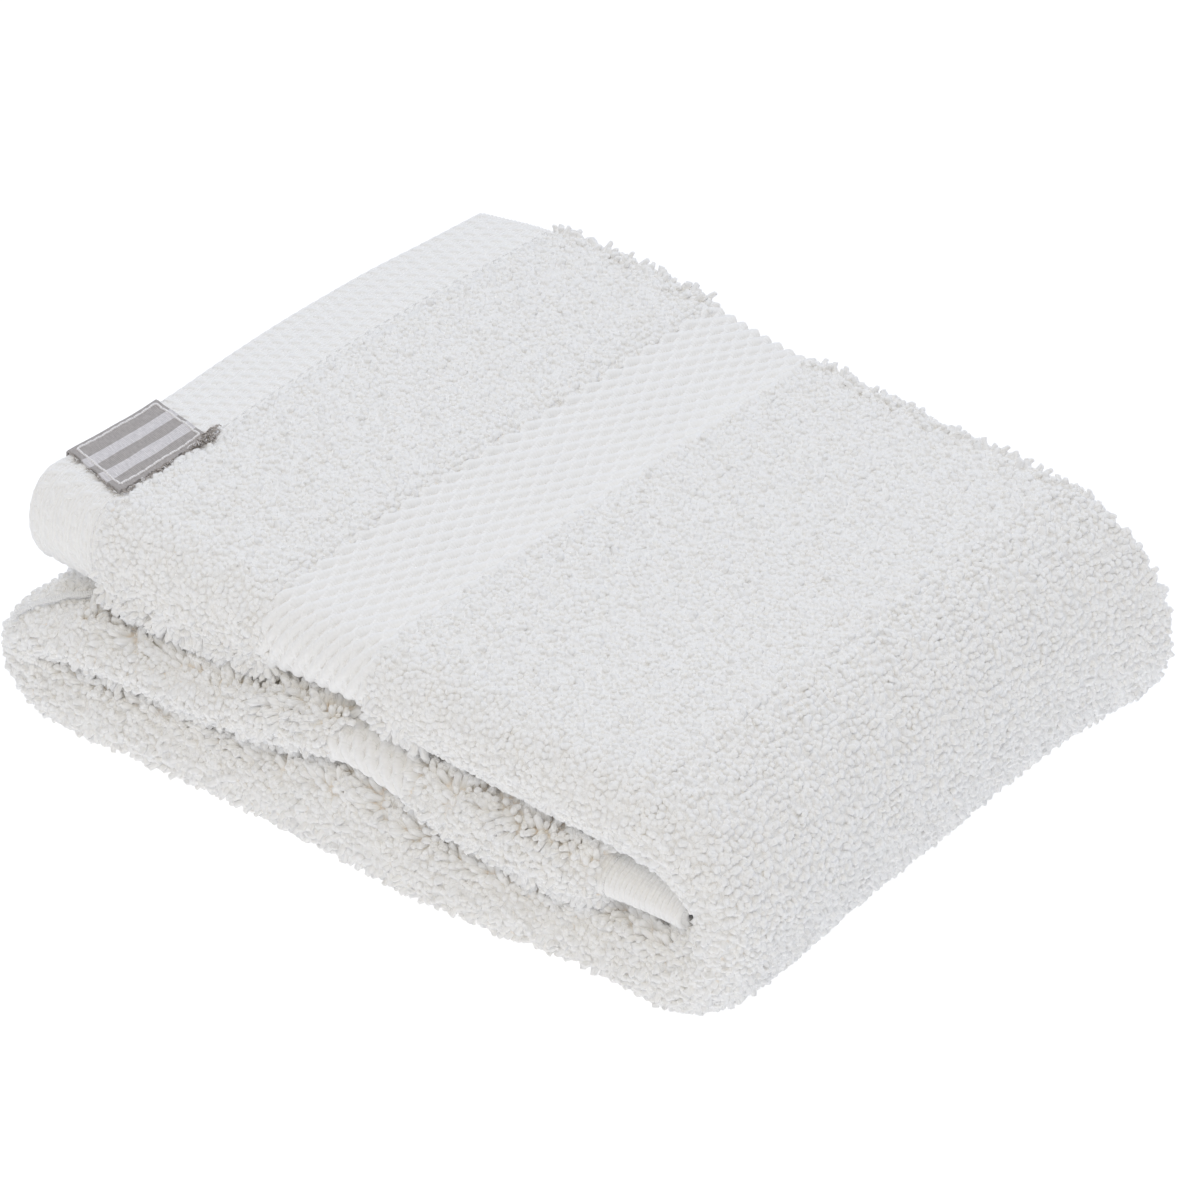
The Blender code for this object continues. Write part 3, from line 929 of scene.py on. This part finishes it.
ON_TOP, ON_ROUND, BENEATH, ON_TIGHT, BETWEEN = (rows_of(zone) for zone in range(5))
OVER_HEM = (112, 205)  # rows of the top layer and its fold that hang over the inner hem
PAST_HEM = (OVER_HEM[1], BETWEEN[0])  # and those from there on to the middle layer
UNDER_BORDER = (515, 541)  # rows of the middle layer that fill the room under the top border
ALL_ROWS = (0, ROWS - 1)
OUTER = (0, NOSE)  # columns of the outward face that can be seen from outside the stack
FAR_NOSE = (NOSE, NOSE + 16)
BACK, MOUTH = 13, 18  # mm of the outward and the inward faces that show at the open edges
pile_top = pile("pile_top", [dict(rows=ON_TOP, columns=OUTER)], top_loops, 100)
pile_round_fold = pile("pile_round_fold", [
    dict(rows=ON_ROUND, columns=OUTER, lift=0.2, proud=0.12),
], top_loops, 200)
pile_bottom = pile("pile_bottom", [
    dict(rows=BENEATH, columns=OUTER, pitch=2.6, lift=0.1, width=LOOP_WIDTH * 1.25),
], light_loops, 300, LOOP_WIDTH * 1.25)
pile_tight_fold = pile("pile_tight_fold", [
    dict(rows=ON_TIGHT, columns=OUTER, lift=0.3, proud=0.15),
], top_loops, 400)
pile_fronts = pile("pile_fronts", [
    dict(rows=(0, OVER_HEM[0]), columns=FAR_NOSE, lift=0.2, proud=0.12, longer=2.8),
    dict(rows=OVER_HEM, columns=FAR_NOSE, lift=0.1, longer=-0.5),
    dict(rows=PAST_HEM, columns=FAR_NOSE, proud=0.12, longer=2.8),
    dict(rows=BETWEEN, columns=(NOSE - 16, NOSE + 16), lift=0.2, proud=0.12, longer=3.0),
    dict(rows=UNDER_BORDER, columns=(NOSE - 18, NOSE - 4), pitch=1.7, longer=3.0, tall=2.2),
], top_loops, 500)
pile_tufts = pile("pile_tufts", [
    dict(rows=ON_ROUND, columns=OUTER, pitch=2.6, lean=(0.2, 0.9), tall=0.8),
    dict(rows=ON_TIGHT, columns=OUTER, pitch=2.7, lean=(0.2, 0.9), tall=0.9),
    dict(rows=(0, OVER_HEM[0]), columns=FAR_NOSE, pitch=3.2, tall=1.3),
    dict(rows=PAST_HEM, columns=FAR_NOSE, pitch=3.2, tall=1.3),
    dict(rows=BENEATH, columns=(NOSE - 14, NOSE), pitch=2.6, tall=1.0),
    dict(rows=ON_TOP, columns=(0, 3.5), pitch=1.7, lean=(0.3, 1.1), tall=1.3),
    dict(rows=BETWEEN, columns=(NOSE - 12, NOSE + 12), pitch=3.4, tall=1.3),
    dict(rows=ON_TOP, columns=OUTER, pitch=4.6, lean=(0.5, 1.4), tall=0.4),
], full_loops, 700, LOOP_WIDTH * 0.92)
pile_backs = pile("pile_backs", [
    dict(rows=ALL_ROWS, columns=(LAST - BACK, LAST), pitch=1.6, width=LOOP_WIDTH * 1.2),
    dict(rows=BETWEEN, columns=(0, BACK)),
    dict(rows=ALL_ROWS, columns=(SIDE_TURN, MOUTH), side=-1, pitch=2.2),
    dict(rows=ALL_ROWS, columns=(LAST - MOUTH, LAST - SIDE_TURN), side=-1, pitch=2.2),
    dict(rows=(0, 38), columns=(MOUTH, LAST - MOUTH), side=-1, pitch=2.2),
], light_loops, 600)

# %% [markdown]
# ## The woven border and the hems
# The border has no pile. Its weft yarns lie in ribs that run across the towel. Each rib swells where
# its yarn floats over the weave and narrows where it dives, half a step on from its neighbours, so
# the floats make a lattice. The hem has finer ribs, and rows of short floats that lie nearly along
# the towel. A bump map could draw them, but they show on the rounded front, where the outline would
# stay smooth. So they are real yarns: lines on the cloth that Geometry Nodes turn into tubes.

# %% The yarn tree


def yarn_tree():
    tree, given = new_tree("laid_yarn", [
        ("Thickness", "Float"), ("Sides", "Int"), ("Material", "Material")])
    curve = add_node(tree, "GeometryNodeMeshToCurve", {"Mesh": given["Geometry"]})
    spline = add_node(tree, "GeometryNodeSplineParameter")
    measured = add_node(tree, "GeometryNodeStoreNamedAttribute", {
        "Geometry": curve.outputs[0], "Name": "along", "Value": spline.outputs["Length"]},
        data_type="FLOAT", domain="POINT")
    section = add_node(tree, "GeometryNodeCurvePrimitiveCircle", {
        "Resolution": given["Sides"], "Radius": 0.5})
    girth = add_node(tree, "GeometryNodeInputNamedAttribute", {"Name": "girth"}, data_type="FLOAT")
    width = add_node(tree, "ShaderNodeMath", {
        0: girth.outputs[0], 1: given["Thickness"]}, operation="MULTIPLY")
    tube = add_node(tree, "GeometryNodeCurveToMesh", {
        "Curve": measured.outputs[0], "Profile Curve": section.outputs["Curve"],
        "Scale": width.outputs[0], "Fill Caps": True})
    smooth = add_node(tree, "GeometryNodeSetShadeSmooth", {"Geometry": tube.outputs[0]})
    return finish_tree(tree, smooth.outputs[0], given["Material"])


laid_yarn_tree = yarn_tree()


def yarns(name, lines, thickness, sides, material, girths=None):
    """Round yarns of that thickness along lines of points, swollen here and there by their girths."""
    girths = girths or [np.ones(len(line)) for line in lines]
    starts = np.cumsum([0] + [len(line) for line in lines[:-1]])
    edges = [(start + k, start + k + 1)
             for start, line in zip(starts, lines) for k in range(len(line) - 1)]
    guide = new_object(name + "_lines", np.concatenate(lines), [], edges)
    guide.data.attributes.new("girth", "FLOAT", "POINT").data.foreach_set(
        "value", np.concatenate(girths))
    made = made_by(laid_yarn_tree, name, guide, {
        "Thickness": thickness, "Sides": sides, "Material": material})
    print(name, "has", len(lines), "yarns and", triangles(made), "triangles")
    return made


# %% Ribs of the border
RIB_PITCH = 1.69  # mm
RIB_WAVE = 6.34  # mm from float to float in one rib
RIB_SWING = 0.55  # mm
RIB_YARN = 2.25 * MM


def border_lines(zone, border, columns, seed):
    rng = np.random.default_rng(seed)
    lines, girths = [], []
    column = np.arange(columns[0], columns[1], 0.9)
    ribs = int(round((border[1] - border[0]) / MM / RIB_PITCH))
    for rib in range(ribs):
        middle = border[0] / MM + RIB_PITCH * (rib + 0.5)
        phase = 2 * np.pi * (column / RIB_WAVE + 0.5 * rib)
        phase = phase + 0.5 * smooth_noise(0 * column + 4 * rib, column, 23, seed)
        plump = 1 - 2 * ((1 + np.cos(phase)) / 2) ** 1.6 + rng.normal(0, 0.08, len(column))
        row = row_at(middle + RIB_SWING * np.sin(phase), zone)
        rise = on_grid(half_grid, row, column) - RIB_YARN / 2 + 0.15 * plump * MM
        lines.append(on_cloth(row, column, rise))
        girths.append(1 + 0.13 * plump)
    return lines, girths


top_ribs = border_lines(TOP, TOP_BORDER, (0.5, NOSE + 22), 11)
inner_ribs = border_lines(MIDDLE, INNER_BORDER, (NOSE - 17, NOSE + 17), 12)
border_ribs = yarns(
    "border_ribs", top_ribs[0] + inner_ribs[0], RIB_YARN, 7, rib_cotton, top_ribs[1] + inner_ribs[1]
)

# %% Ribs of the hems
HEM_PITCH = 1.0  # mm
HEM_WAVE = 3.05  # mm
HEM_YARN = 1.17 * MM
HEM_STEP = 0.16  # of a wave, from each rib to the next
HEM_BUNDLE = 3  # ribs after which the waves are half a step further on


def hem_rise(row, column):
    """How far a hem's face stands off the middle of the cloth, in metres."""
    half_hem = np.minimum(on_grid(half_grid, row, column), HEM / 2)
    return half_hem * rounded(np.minimum(row, ROWS - 1 - row))


def hem_lines(zone, columns, seed, side=1, depth=HEM_END / MM, pitch=HEM_PITCH):
    rng = np.random.default_rng(seed)
    lines, girths = [], []
    column = np.arange(columns[0], columns[1], 1.0)
    for rib, middle in enumerate(np.arange(0.6, depth, pitch)):
        phase = 2 * np.pi * (column / HEM_WAVE + HEM_STEP * rib + 0.5 * (rib // HEM_BUNDLE))
        phase = phase + 0.6 * smooth_noise(0 * column + 5 * rib, column, 17, seed)
        plump = np.cos(phase) + rng.normal(0, 0.1, len(column))
        row = row_at(middle + 0 * column, zone)
        rise = hem_rise(row, column) + 0.04 * plump * MM - HEM_YARN * 0.42 * pitch / HEM_PITCH
        lines.append(on_cloth(row, column, side * rise))
        girths.append(pitch / HEM_PITCH * (1 + 0.06 * plump))
    return lines, girths


FLOAT_ROWS = 3.6  # mm along the towel from one row of floats to the next
FLOAT_STEP = 3.25  # mm across the towel from float to float in a row
FLOAT_HALF = 1.85  # mm
FLOAT_HEADINGS = (22, -62)  # degrees off the towel's length, on the flat and round the nose


def hem_floats(zone, columns, seed):
    """Short floats that lie over the ribs of a hem, each row half a step on from the last."""
    rng = np.random.default_rng(seed)
    lines, girths = [], []
    t = np.linspace(-1, 1, 6)
    for count, place in enumerate(np.arange(2.2, HEM_END / MM - 1.2, FLOAT_ROWS)):
        shift = (count % 2) * FLOAT_STEP / 2
        for column in np.arange(columns[0] + 1.5 + shift, columns[1] - 1.5, FLOAT_STEP):
            heading = np.radians(FLOAT_HEADINGS[int(column > NOSE - 9)] + rng.normal(0, 5))
            run = FLOAT_HALF * rng.uniform(0.85, 1.1) * t
            row = row_at(place + rng.normal(0, 0.1) + run * np.cos(heading), zone)
            across = column + rng.normal(0, 0.12) - run * np.sin(heading)
            rise = hem_rise(row, across) - (0.32 + 0.55 * t ** 2) * MM  # the ends dive
            lines.append(on_cloth(row, across, rise))
            girths.append(1.45 - 0.4 * t ** 2)
    return lines, girths


hem_parts = [
    hem_lines(TOP, (0.6, NOSE + 30), 21),
    hem_lines(TOP, (NOSE - 30, LAST - 0.6), 22, -1, 6),
    hem_lines(MIDDLE, (NOSE - 20, NOSE + 20), 23, pitch=1.25),
    hem_floats(TOP, (0.6, NOSE + 18), 24),
]
hem_ribs = yarns(
    "hem_ribs", sum((part[0] for part in hem_parts), []), HEM_YARN, 6, rib_cotton,
    sum((part[1] for part in hem_parts), []),
)

# %% [markdown]
# ## Sewing
# A lock stitch holds each hem just inside its edge, and a line of it holds the long edges, which are
# turned in. Each stitch is a short yarn whose two ends dive into the cloth. They could be one cord on
# a curve, but stitches are what the eye counts. One thread has come loose at the tight fold, and its
# two strands lie over the pile.

# %% Stitch the hems
STITCH = 3.0  # mm
THREAD_THICK = 0.45 * MM
HEM_SEAM, SIDE_SEAM = 18.7, 5.6  # mm from the edge of the cloth
DIVE = np.array([0.75, 0.1, 0.0, 0.1, 0.75])  # how deep a stitch lies at its five points, in mm


def stitches(line, fixed, rise, span):
    """Stitches along rows or columns of the cloth, each as a line of five points."""
    found = []
    for start in np.arange(span[0], span[1] - STITCH, STITCH):
        run = start + np.linspace(0.15, STITCH - 0.15, len(DIVE))
        row, column = (fixed + 0 * run, run) if line == "across" else (run, fixed + 0 * run)
        found.append(on_cloth(row, column, rise - np.sign(rise) * DIVE * MM))
    return found


on_hem = HEM / 2 + 0.15 * MM
on_turn = -(GROUND_HALF + SIDE_TURN_THICK + 0.1 * MM)
between_hems = (HEM_END / MM, ROWS - 1 - HEM_END / MM)
sewing = yarns("sewing_thread", (
    stitches("across", row_at(HEM_SEAM, TOP), on_hem, (1, LAST - 1))
    + stitches("across", row_at(HEM_SEAM, MIDDLE), on_hem, (NOSE - 20, NOSE + 20))
    + stitches("along", SIDE_SEAM, on_turn, between_hems)
    + stitches("along", LAST - SIDE_SEAM, on_turn, between_hems)
), THREAD_THICK, 5, sewing_cotton)

# %% A thread that has come loose
LOOSE_ROWS = (452, 455, 459, 462, 464, 467, 470)  # places on the tight fold, near the front
LOOSE_COLUMNS = (144, 142, 140, 137, 135, 132, 129)


def loose_strand(aside, seed):
    rng = np.random.default_rng(seed)
    t = np.linspace(0, len(LOOSE_ROWS) - 1, 40)
    wander = 0.25 * np.sin(t * 5 + seed) + aside
    row = np.interp(t, range(len(LOOSE_ROWS)), LOOSE_ROWS) + wander
    column = np.interp(t, range(len(LOOSE_ROWS)), LOOSE_COLUMNS) + rng.normal(0, 0.05, len(t))
    return on_cloth(row, column, on_grid(half_grid, row, column) + 0.9 * MM)


loose_thread = yarns(
    "loose_thread", [loose_strand(-0.4, 1), loose_strand(0.4, 2)], 1.0 * MM, 7, sewing_cotton)

# %% [markdown]
# ## The label
# A narrow woven satin strip is folded over the end of the hem and sewn down near its edges. It is
# dark grey with two plain pale bands. Its cut edges are ragged and let go of a few threads. It starts
# as a grid along the path of the strip, so its weave can follow it.

# %% Lay the label
LABEL_Y = (14.5 * MM, 41.5 * MM)
LABEL_SLANT = 0.2
LABEL_TOP_LEG = 19.3 * MM
LABEL_UNDER_LEG = 9 * MM
LABEL_HALF = 0.28 * MM  # half the thickness of the strip
LABEL_RISE = 2.1 * MM  # from the middle of the hem to the middle of the strip
LABEL_END = 0.95 * MM  # how far the folded end stands off the end of the hem
LABEL_STEP = 0.45 * MM


def label_path():
    """x and rise along the middle of the strip, from its cut end on top to the one beneath."""
    top = np.arange(LABEL_TOP_LEG, 0, -LABEL_STEP)
    turn = np.linspace(0, np.pi, 13)
    under = np.arange(LABEL_STEP, LABEL_UNDER_LEG, LABEL_STEP)
    x = np.concatenate([top, -LABEL_END * np.sin(turn), under])
    rise = np.concatenate([
        np.full(len(top), LABEL_RISE), LABEL_RISE * np.cos(turn), np.full(len(under), -LABEL_RISE)])
    return x, rise


def label_points(x, y, rise):
    """Points over the top hem at x, y before the slant, and a rise over the hem's middle."""
    y = y - LABEL_SLANT * x
    x = x + reach("top_hem", y)
    return np.stack([x, y, parting("top", x, y) - TERRY / 2 + rise], axis=-1) - origin


path_x, path_rise = label_path()
path_run = lengths_along(np.stack([path_x, path_rise], axis=1))
normal_x, normal_rise = np.gradient(path_rise), -np.gradient(path_x)
scale = np.hypot(normal_x, normal_rise)
normal_x, normal_rise = -normal_x / scale, normal_rise / scale

rng = np.random.default_rng(31)
across = np.arange(LABEL_Y[0], LABEL_Y[1] + LABEL_STEP / 2, LABEL_STEP)
strip_x, strip_y = np.meshgrid(path_x, across, indexing="ij")
ragged = rng.uniform(0, 1, len(path_x)) * 0.45 * MM
strip_y[:, 0] += ragged * 0.35
strip_y[:, -1] -= ragged[::-1] * 0.35
strip_x[0] -= rng.uniform(0, 1, len(across)) * 0.6 * MM


def label_lift(run, from_front):
    """How far the strip stands off its path, in metres, at places in mm along and across it."""
    lifted = np.exp(-from_front / 1.3) * (0.35 + 0.3 * np.sin(run * 0.9))
    ripple = 0.12 * np.sin(run * 1.1) * np.sin(from_front * 0.55)
    return (lifted + ripple) * MM


label_faces = []
for half_way in (LABEL_HALF, -LABEL_HALF):
    off = half_way + label_lift(path_run[:, None] / MM, (across - LABEL_Y[0])[None, :] / MM)
    label_faces.append(label_points(
        strip_x + normal_x[:, None] * off, strip_y, path_rise[:, None] + normal_rise[:, None] * off))
label_cloth = closed_sheet("label_cloth", *label_faces, (across - LABEL_Y[0], path_run))
face_outwards(label_cloth)
print("label:", len(label_cloth.data.polygons), "faces,",
      round(path_run[-1] / MM, 1), "mm of strip")

# %% Satin for the label
LABEL_GREY = "#B5B0AE"
LABEL_PALE = "#E2DFE1"
LABEL_BANDS = ((4.6, 7.8), (11.0, 14.2))  # mm from the cut end on top
SATIN_THREAD = 0.42 * MM
THREAD_PALE = "#FAF8F8"
THREAD_GREY = "#C4BDB8"
THREAD_TWIST = 0.6 * MM  # length of one turn of a loose thread


# Polyester satin woven in two greys: flat floats with a low lustre, and a fine grain along them.
def label_satin():
    made, tree, shader = new_material("polyester_label_satin_woven", 0.6, 0.1)
    uv, axes = uv_axes(tree)
    masks = [
        add_node(tree, "ShaderNodeMath", {
            0: axes["Y"], 1: (start + end) / 2 * MM, 2: (end - start) / 2 * MM}, operation="COMPARE")
        for start, end in LABEL_BANDS]
    bands = add_node(tree, "ShaderNodeMath", {
        0: masks[0].outputs[0], 1: masks[1].outputs[0]}, operation="MAXIMUM")
    colour = add_node(tree, "ShaderNodeMix", {
        "Factor": bands.outputs[0], 6: linear(LABEL_GREY), 7: linear(LABEL_PALE)}, data_type="RGBA")
    floats = add_node(tree, "ShaderNodeVectorMath", {
        0: uv, 1: (1 / SATIN_THREAD, 0.25 / SATIN_THREAD, 1)}, operation="MULTIPLY")
    grain = add_node(tree, "ShaderNodeTexNoise", {
        "Vector": floats.outputs[0], "Scale": 1.0, "Detail": 2.0, "Roughness": 0.7})
    shade = add_node(tree, "ShaderNodeMapRange", {
        "Value": grain.outputs["Fac"], "From Min": 0.3, "From Max": 0.7, "To Min": 0.82, "To Max": 1.12})
    worn = add_node(tree, "ShaderNodeMix", {
        "Factor": 1.0, 6: colour.outputs[2], 7: shade.outputs["Result"]},
        data_type="RGBA", blend_type="MULTIPLY")
    threads = ripples(tree, axes["X"], SATIN_THREAD)
    height = add_node(tree, "ShaderNodeMath", {0: threads, 1: grain.outputs["Fac"]}, operation="ADD")
    colour_and_bump(tree, shader, worn.outputs[2], height.outputs[0], 0.03 * MM)
    return made


# Loose polyester threads of the label, twisted by hand and wash.
def label_thread(name, colour):
    made, tree, shader = new_material(name, 0.6, 0.1)
    along = add_node(tree, "ShaderNodeAttribute", attribute_name="along")
    wave = ripples(tree, along.outputs["Fac"], THREAD_TWIST)
    shade = add_node(tree, "ShaderNodeMapRange", {
        "Value": wave, "From Min": -1.0, "To Min": 0.85, "To Max": 1.05})
    mixed = add_node(tree, "ShaderNodeMix", {
        "Factor": 1.0, 6: linear(colour), 7: shade.outputs["Result"]},
        data_type="RGBA", blend_type="MULTIPLY")
    colour_and_bump(tree, shader, mixed.outputs[2], wave, 0.04 * MM)
    return made


label_cloth.data.materials.append(label_satin())
pale_thread = label_thread("polyester_thread_pale", THREAD_PALE)
grey_thread = label_thread("polyester_thread_grey", THREAD_GREY)

# %% Sew and fray the label
FRAME_INSET = 1.2 * MM  # of the sewn frame, at the folded end and the back side
WIDE_INSET = 1.9 * MM  # at the front side and the cut end, which are ragged
LABEL_STITCH = 2.2 * MM
on_label = LABEL_RISE + LABEL_HALF + 0.08 * MM


def label_seam(start, end):
    """Stitches on top of the label between two places, given as x and y before the slant."""
    start, end = np.array(start), np.array(end)
    count = int(np.linalg.norm(end - start) / LABEL_STITCH)
    found = []
    for k in range(count):
        share = (k + np.linspace(0.04, 0.96, len(DIVE))) / count
        x, y = (start + (end - start) * share[:, None]).T
        lift = label_lift((LABEL_TOP_LEG - x) / MM, (y - LABEL_Y[0]) / MM)
        found.append(label_points(x, y, on_label + lift - DIVE * 0.25 * MM))
    return found


near_front, near_back = LABEL_Y[0] + WIDE_INSET, LABEL_Y[1] - FRAME_INSET
near_fold, near_cut = FRAME_INSET, LABEL_TOP_LEG - WIDE_INSET
corners = [(near_cut, near_front), (near_fold, near_front), (near_fold, near_back), (near_cut, near_back)]
seams = [label_seam(start, end) for start, end in zip(corners, corners[1:] + corners[:1])]
label_sewing = yarns("label_sewing", sum(seams, []), 0.6 * MM, 6, pale_thread)

FRAY_SHARES = (0.16, 0.6)  # of the threads, up to the end of the front side and of the cut end


def frayed(count, seed):
    """Loose threads at the front side and the cut end of the label, most of them at its corner."""
    rng = np.random.default_rng(seed)
    found = []
    for _ in range(count):
        where = rng.uniform(0, 1)
        if where < FRAY_SHARES[0]:
            x, y = rng.uniform(1 * MM, LABEL_TOP_LEG), LABEL_Y[0]
            heading = np.array([rng.normal(0, 0.8), -1.0])
            length, climb = rng.uniform(0.3, 1.0) * MM, 0.3
        elif where < FRAY_SHARES[1]:
            x, y = LABEL_TOP_LEG, rng.uniform(*LABEL_Y)
            heading = np.array([1.0, rng.normal(0, 0.8)])
            length, climb = rng.uniform(0.8, 2.4) * MM, 0.9
        else:
            x, y = LABEL_TOP_LEG - 0.5 * MM, LABEL_Y[1] - rng.uniform(0, 4) * MM
            heading = np.array([1.0, rng.normal(0.2, 0.9)])
            length, climb = rng.uniform(2.0, 4.2) * MM, 2.6
        heading /= np.linalg.norm(heading)
        aside = np.array([-heading[1], heading[0]])
        t = np.linspace(0, 1, 8)
        curl = rng.uniform(-0.45, 0.45) * t ** 2 + 0.12 * np.sin(t * rng.uniform(5, 11))
        place = np.array([x, y]) + length * (t[:, None] * heading + curl[:, None] * aside)
        hop = rng.uniform(-0.1, 0.5) * np.sin(t * np.pi * rng.uniform(0.5, 1.1))
        hop += climb * rng.uniform(0.4, 1) * np.sin(t * np.pi / 2)
        found.append(label_points(place[:, 0], place[:, 1], LABEL_RISE + hop * MM))
    return found


label_frays = yarns("label_frays", frayed(170, 41), 0.24 * MM, 4, grey_thread)
label_pale_frays = yarns("label_pale_frays", frayed(60, 42), 0.22 * MM, 4, pale_thread)

# %% [markdown]
# ## Studio
# The towel is shown on a plain pale floor under a wide soft light from above, with a weaker warm
# light that fills its front, and the camera stands where the photographer's did.

# %% Floor, lights and camera
PAPER_LOW = "#F4F4F4"
PAPER_HIGH = "#F6F6F6"


# Matt seamless paper, with a faint tooth. It glows faintly, as the photo's floor is nearly burnt out.
def studio_paper():
    made, tree, shader = new_material("studio_paper_matt", 0.9, 0.0)
    tooth = fibres(tree, 2 * MM, 2.0)
    tone = add_node(tree, "ShaderNodeMix", {
        "Factor": tooth, 6: linear(PAPER_LOW), 7: linear(PAPER_HIGH)}, data_type="RGBA")
    colour_and_bump(tree, shader, tone.outputs[2], tooth, 0.02 * MM)
    shader.inputs["Emission Color"].default_value = (0.97, 0.98, 1.0, 1.0)
    shader.inputs["Emission Strength"].default_value = 0.33
    return made


floor = new_object(
    "studio_floor", [(-3, -3, 0), (3, -3, 0), (3, 3, 0), (-3, 3, 0)], [(0, 1, 2, 3)])
floor.data.materials.append(studio_paper())


def area_light(name, place, target, size, power, colour):
    light = bpy.data.lights.new(name, "AREA")
    light.shape, light.size, light.energy, light.color = "DISK", size, power, colour
    made = bpy.data.objects.new(name, light)
    made.location = place
    made.rotation_euler = (Vector(place) - Vector(target)).to_track_quat("Z", "Y").to_euler()
    bpy.context.scene.collection.objects.link(made)


area_light("overhead", (-0.25, 0.5, 1.3), (0, 0, 0), size=2.6, power=10.9, colour=(0.865, 0.915, 1.0))
area_light("fill", (0.45, -0.9, 1.25), (0, 0, 0.03), size=0.8, power=3.4, colour=(1.0, 0.845, 0.54))
world = bpy.data.worlds.new("studio_air")
world.use_nodes = True
air = world.node_tree.nodes["Background"].inputs
air["Color"].default_value = (0.905, 0.93, 1.0, 1.0)
air["Strength"].default_value = 0.55
bpy.context.scene.world = world
bpy.context.scene.view_settings.view_transform = "Standard"
# White loops light each other, so light is followed through more bounces than usual.
bpy.context.scene.cycles.diffuse_bounces = 12

# The photographer's view, as fitted to the towel's outline and its long edges.
azimuth, elevation, distance = np.radians(41.49), np.radians(36.76), 1.1926
looks_at = Vector((-0.012377, 0.021810, 0.015))
back = Vector((
    np.sin(azimuth) * np.cos(elevation), -np.cos(azimuth) * np.cos(elevation), np.sin(elevation)))
camera_data = bpy.data.cameras.new("studio_camera")
camera_data.lens, camera_data.sensor_width, camera_data.clip_start = 166.31, 36, 0.05
camera = bpy.data.objects.new("studio_camera", camera_data)
camera.location = looks_at + back * distance
camera.rotation_euler = back.to_track_quat("Z", "Y").to_euler()
bpy.context.scene.collection.objects.link(camera)
bpy.context.scene.camera = camera

# %% [markdown]
# ## The pieces on the towel's body
# Every piece rides on the towel's one body. The ground sheet takes the place of the solid towel, and
# the label cloth that of the solid label, which are both hidden.

on_ground = [
    pile_top, pile_round_fold, pile_bottom, pile_tight_fold, pile_fronts, pile_tufts, pile_backs,
    border_ribs, hem_ribs, sewing, loose_thread, label_cloth, label_sewing, label_frays,
    label_pale_frays,
]
for piece in [ground] + on_ground:
    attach(piece, "root")
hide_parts("towel")
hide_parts("label")
for group in (full_loops, top_loops, light_loops):
    for shape in list(group.objects):
        bpy.data.objects.remove(shape)
    bpy.data.collections.remove(group)
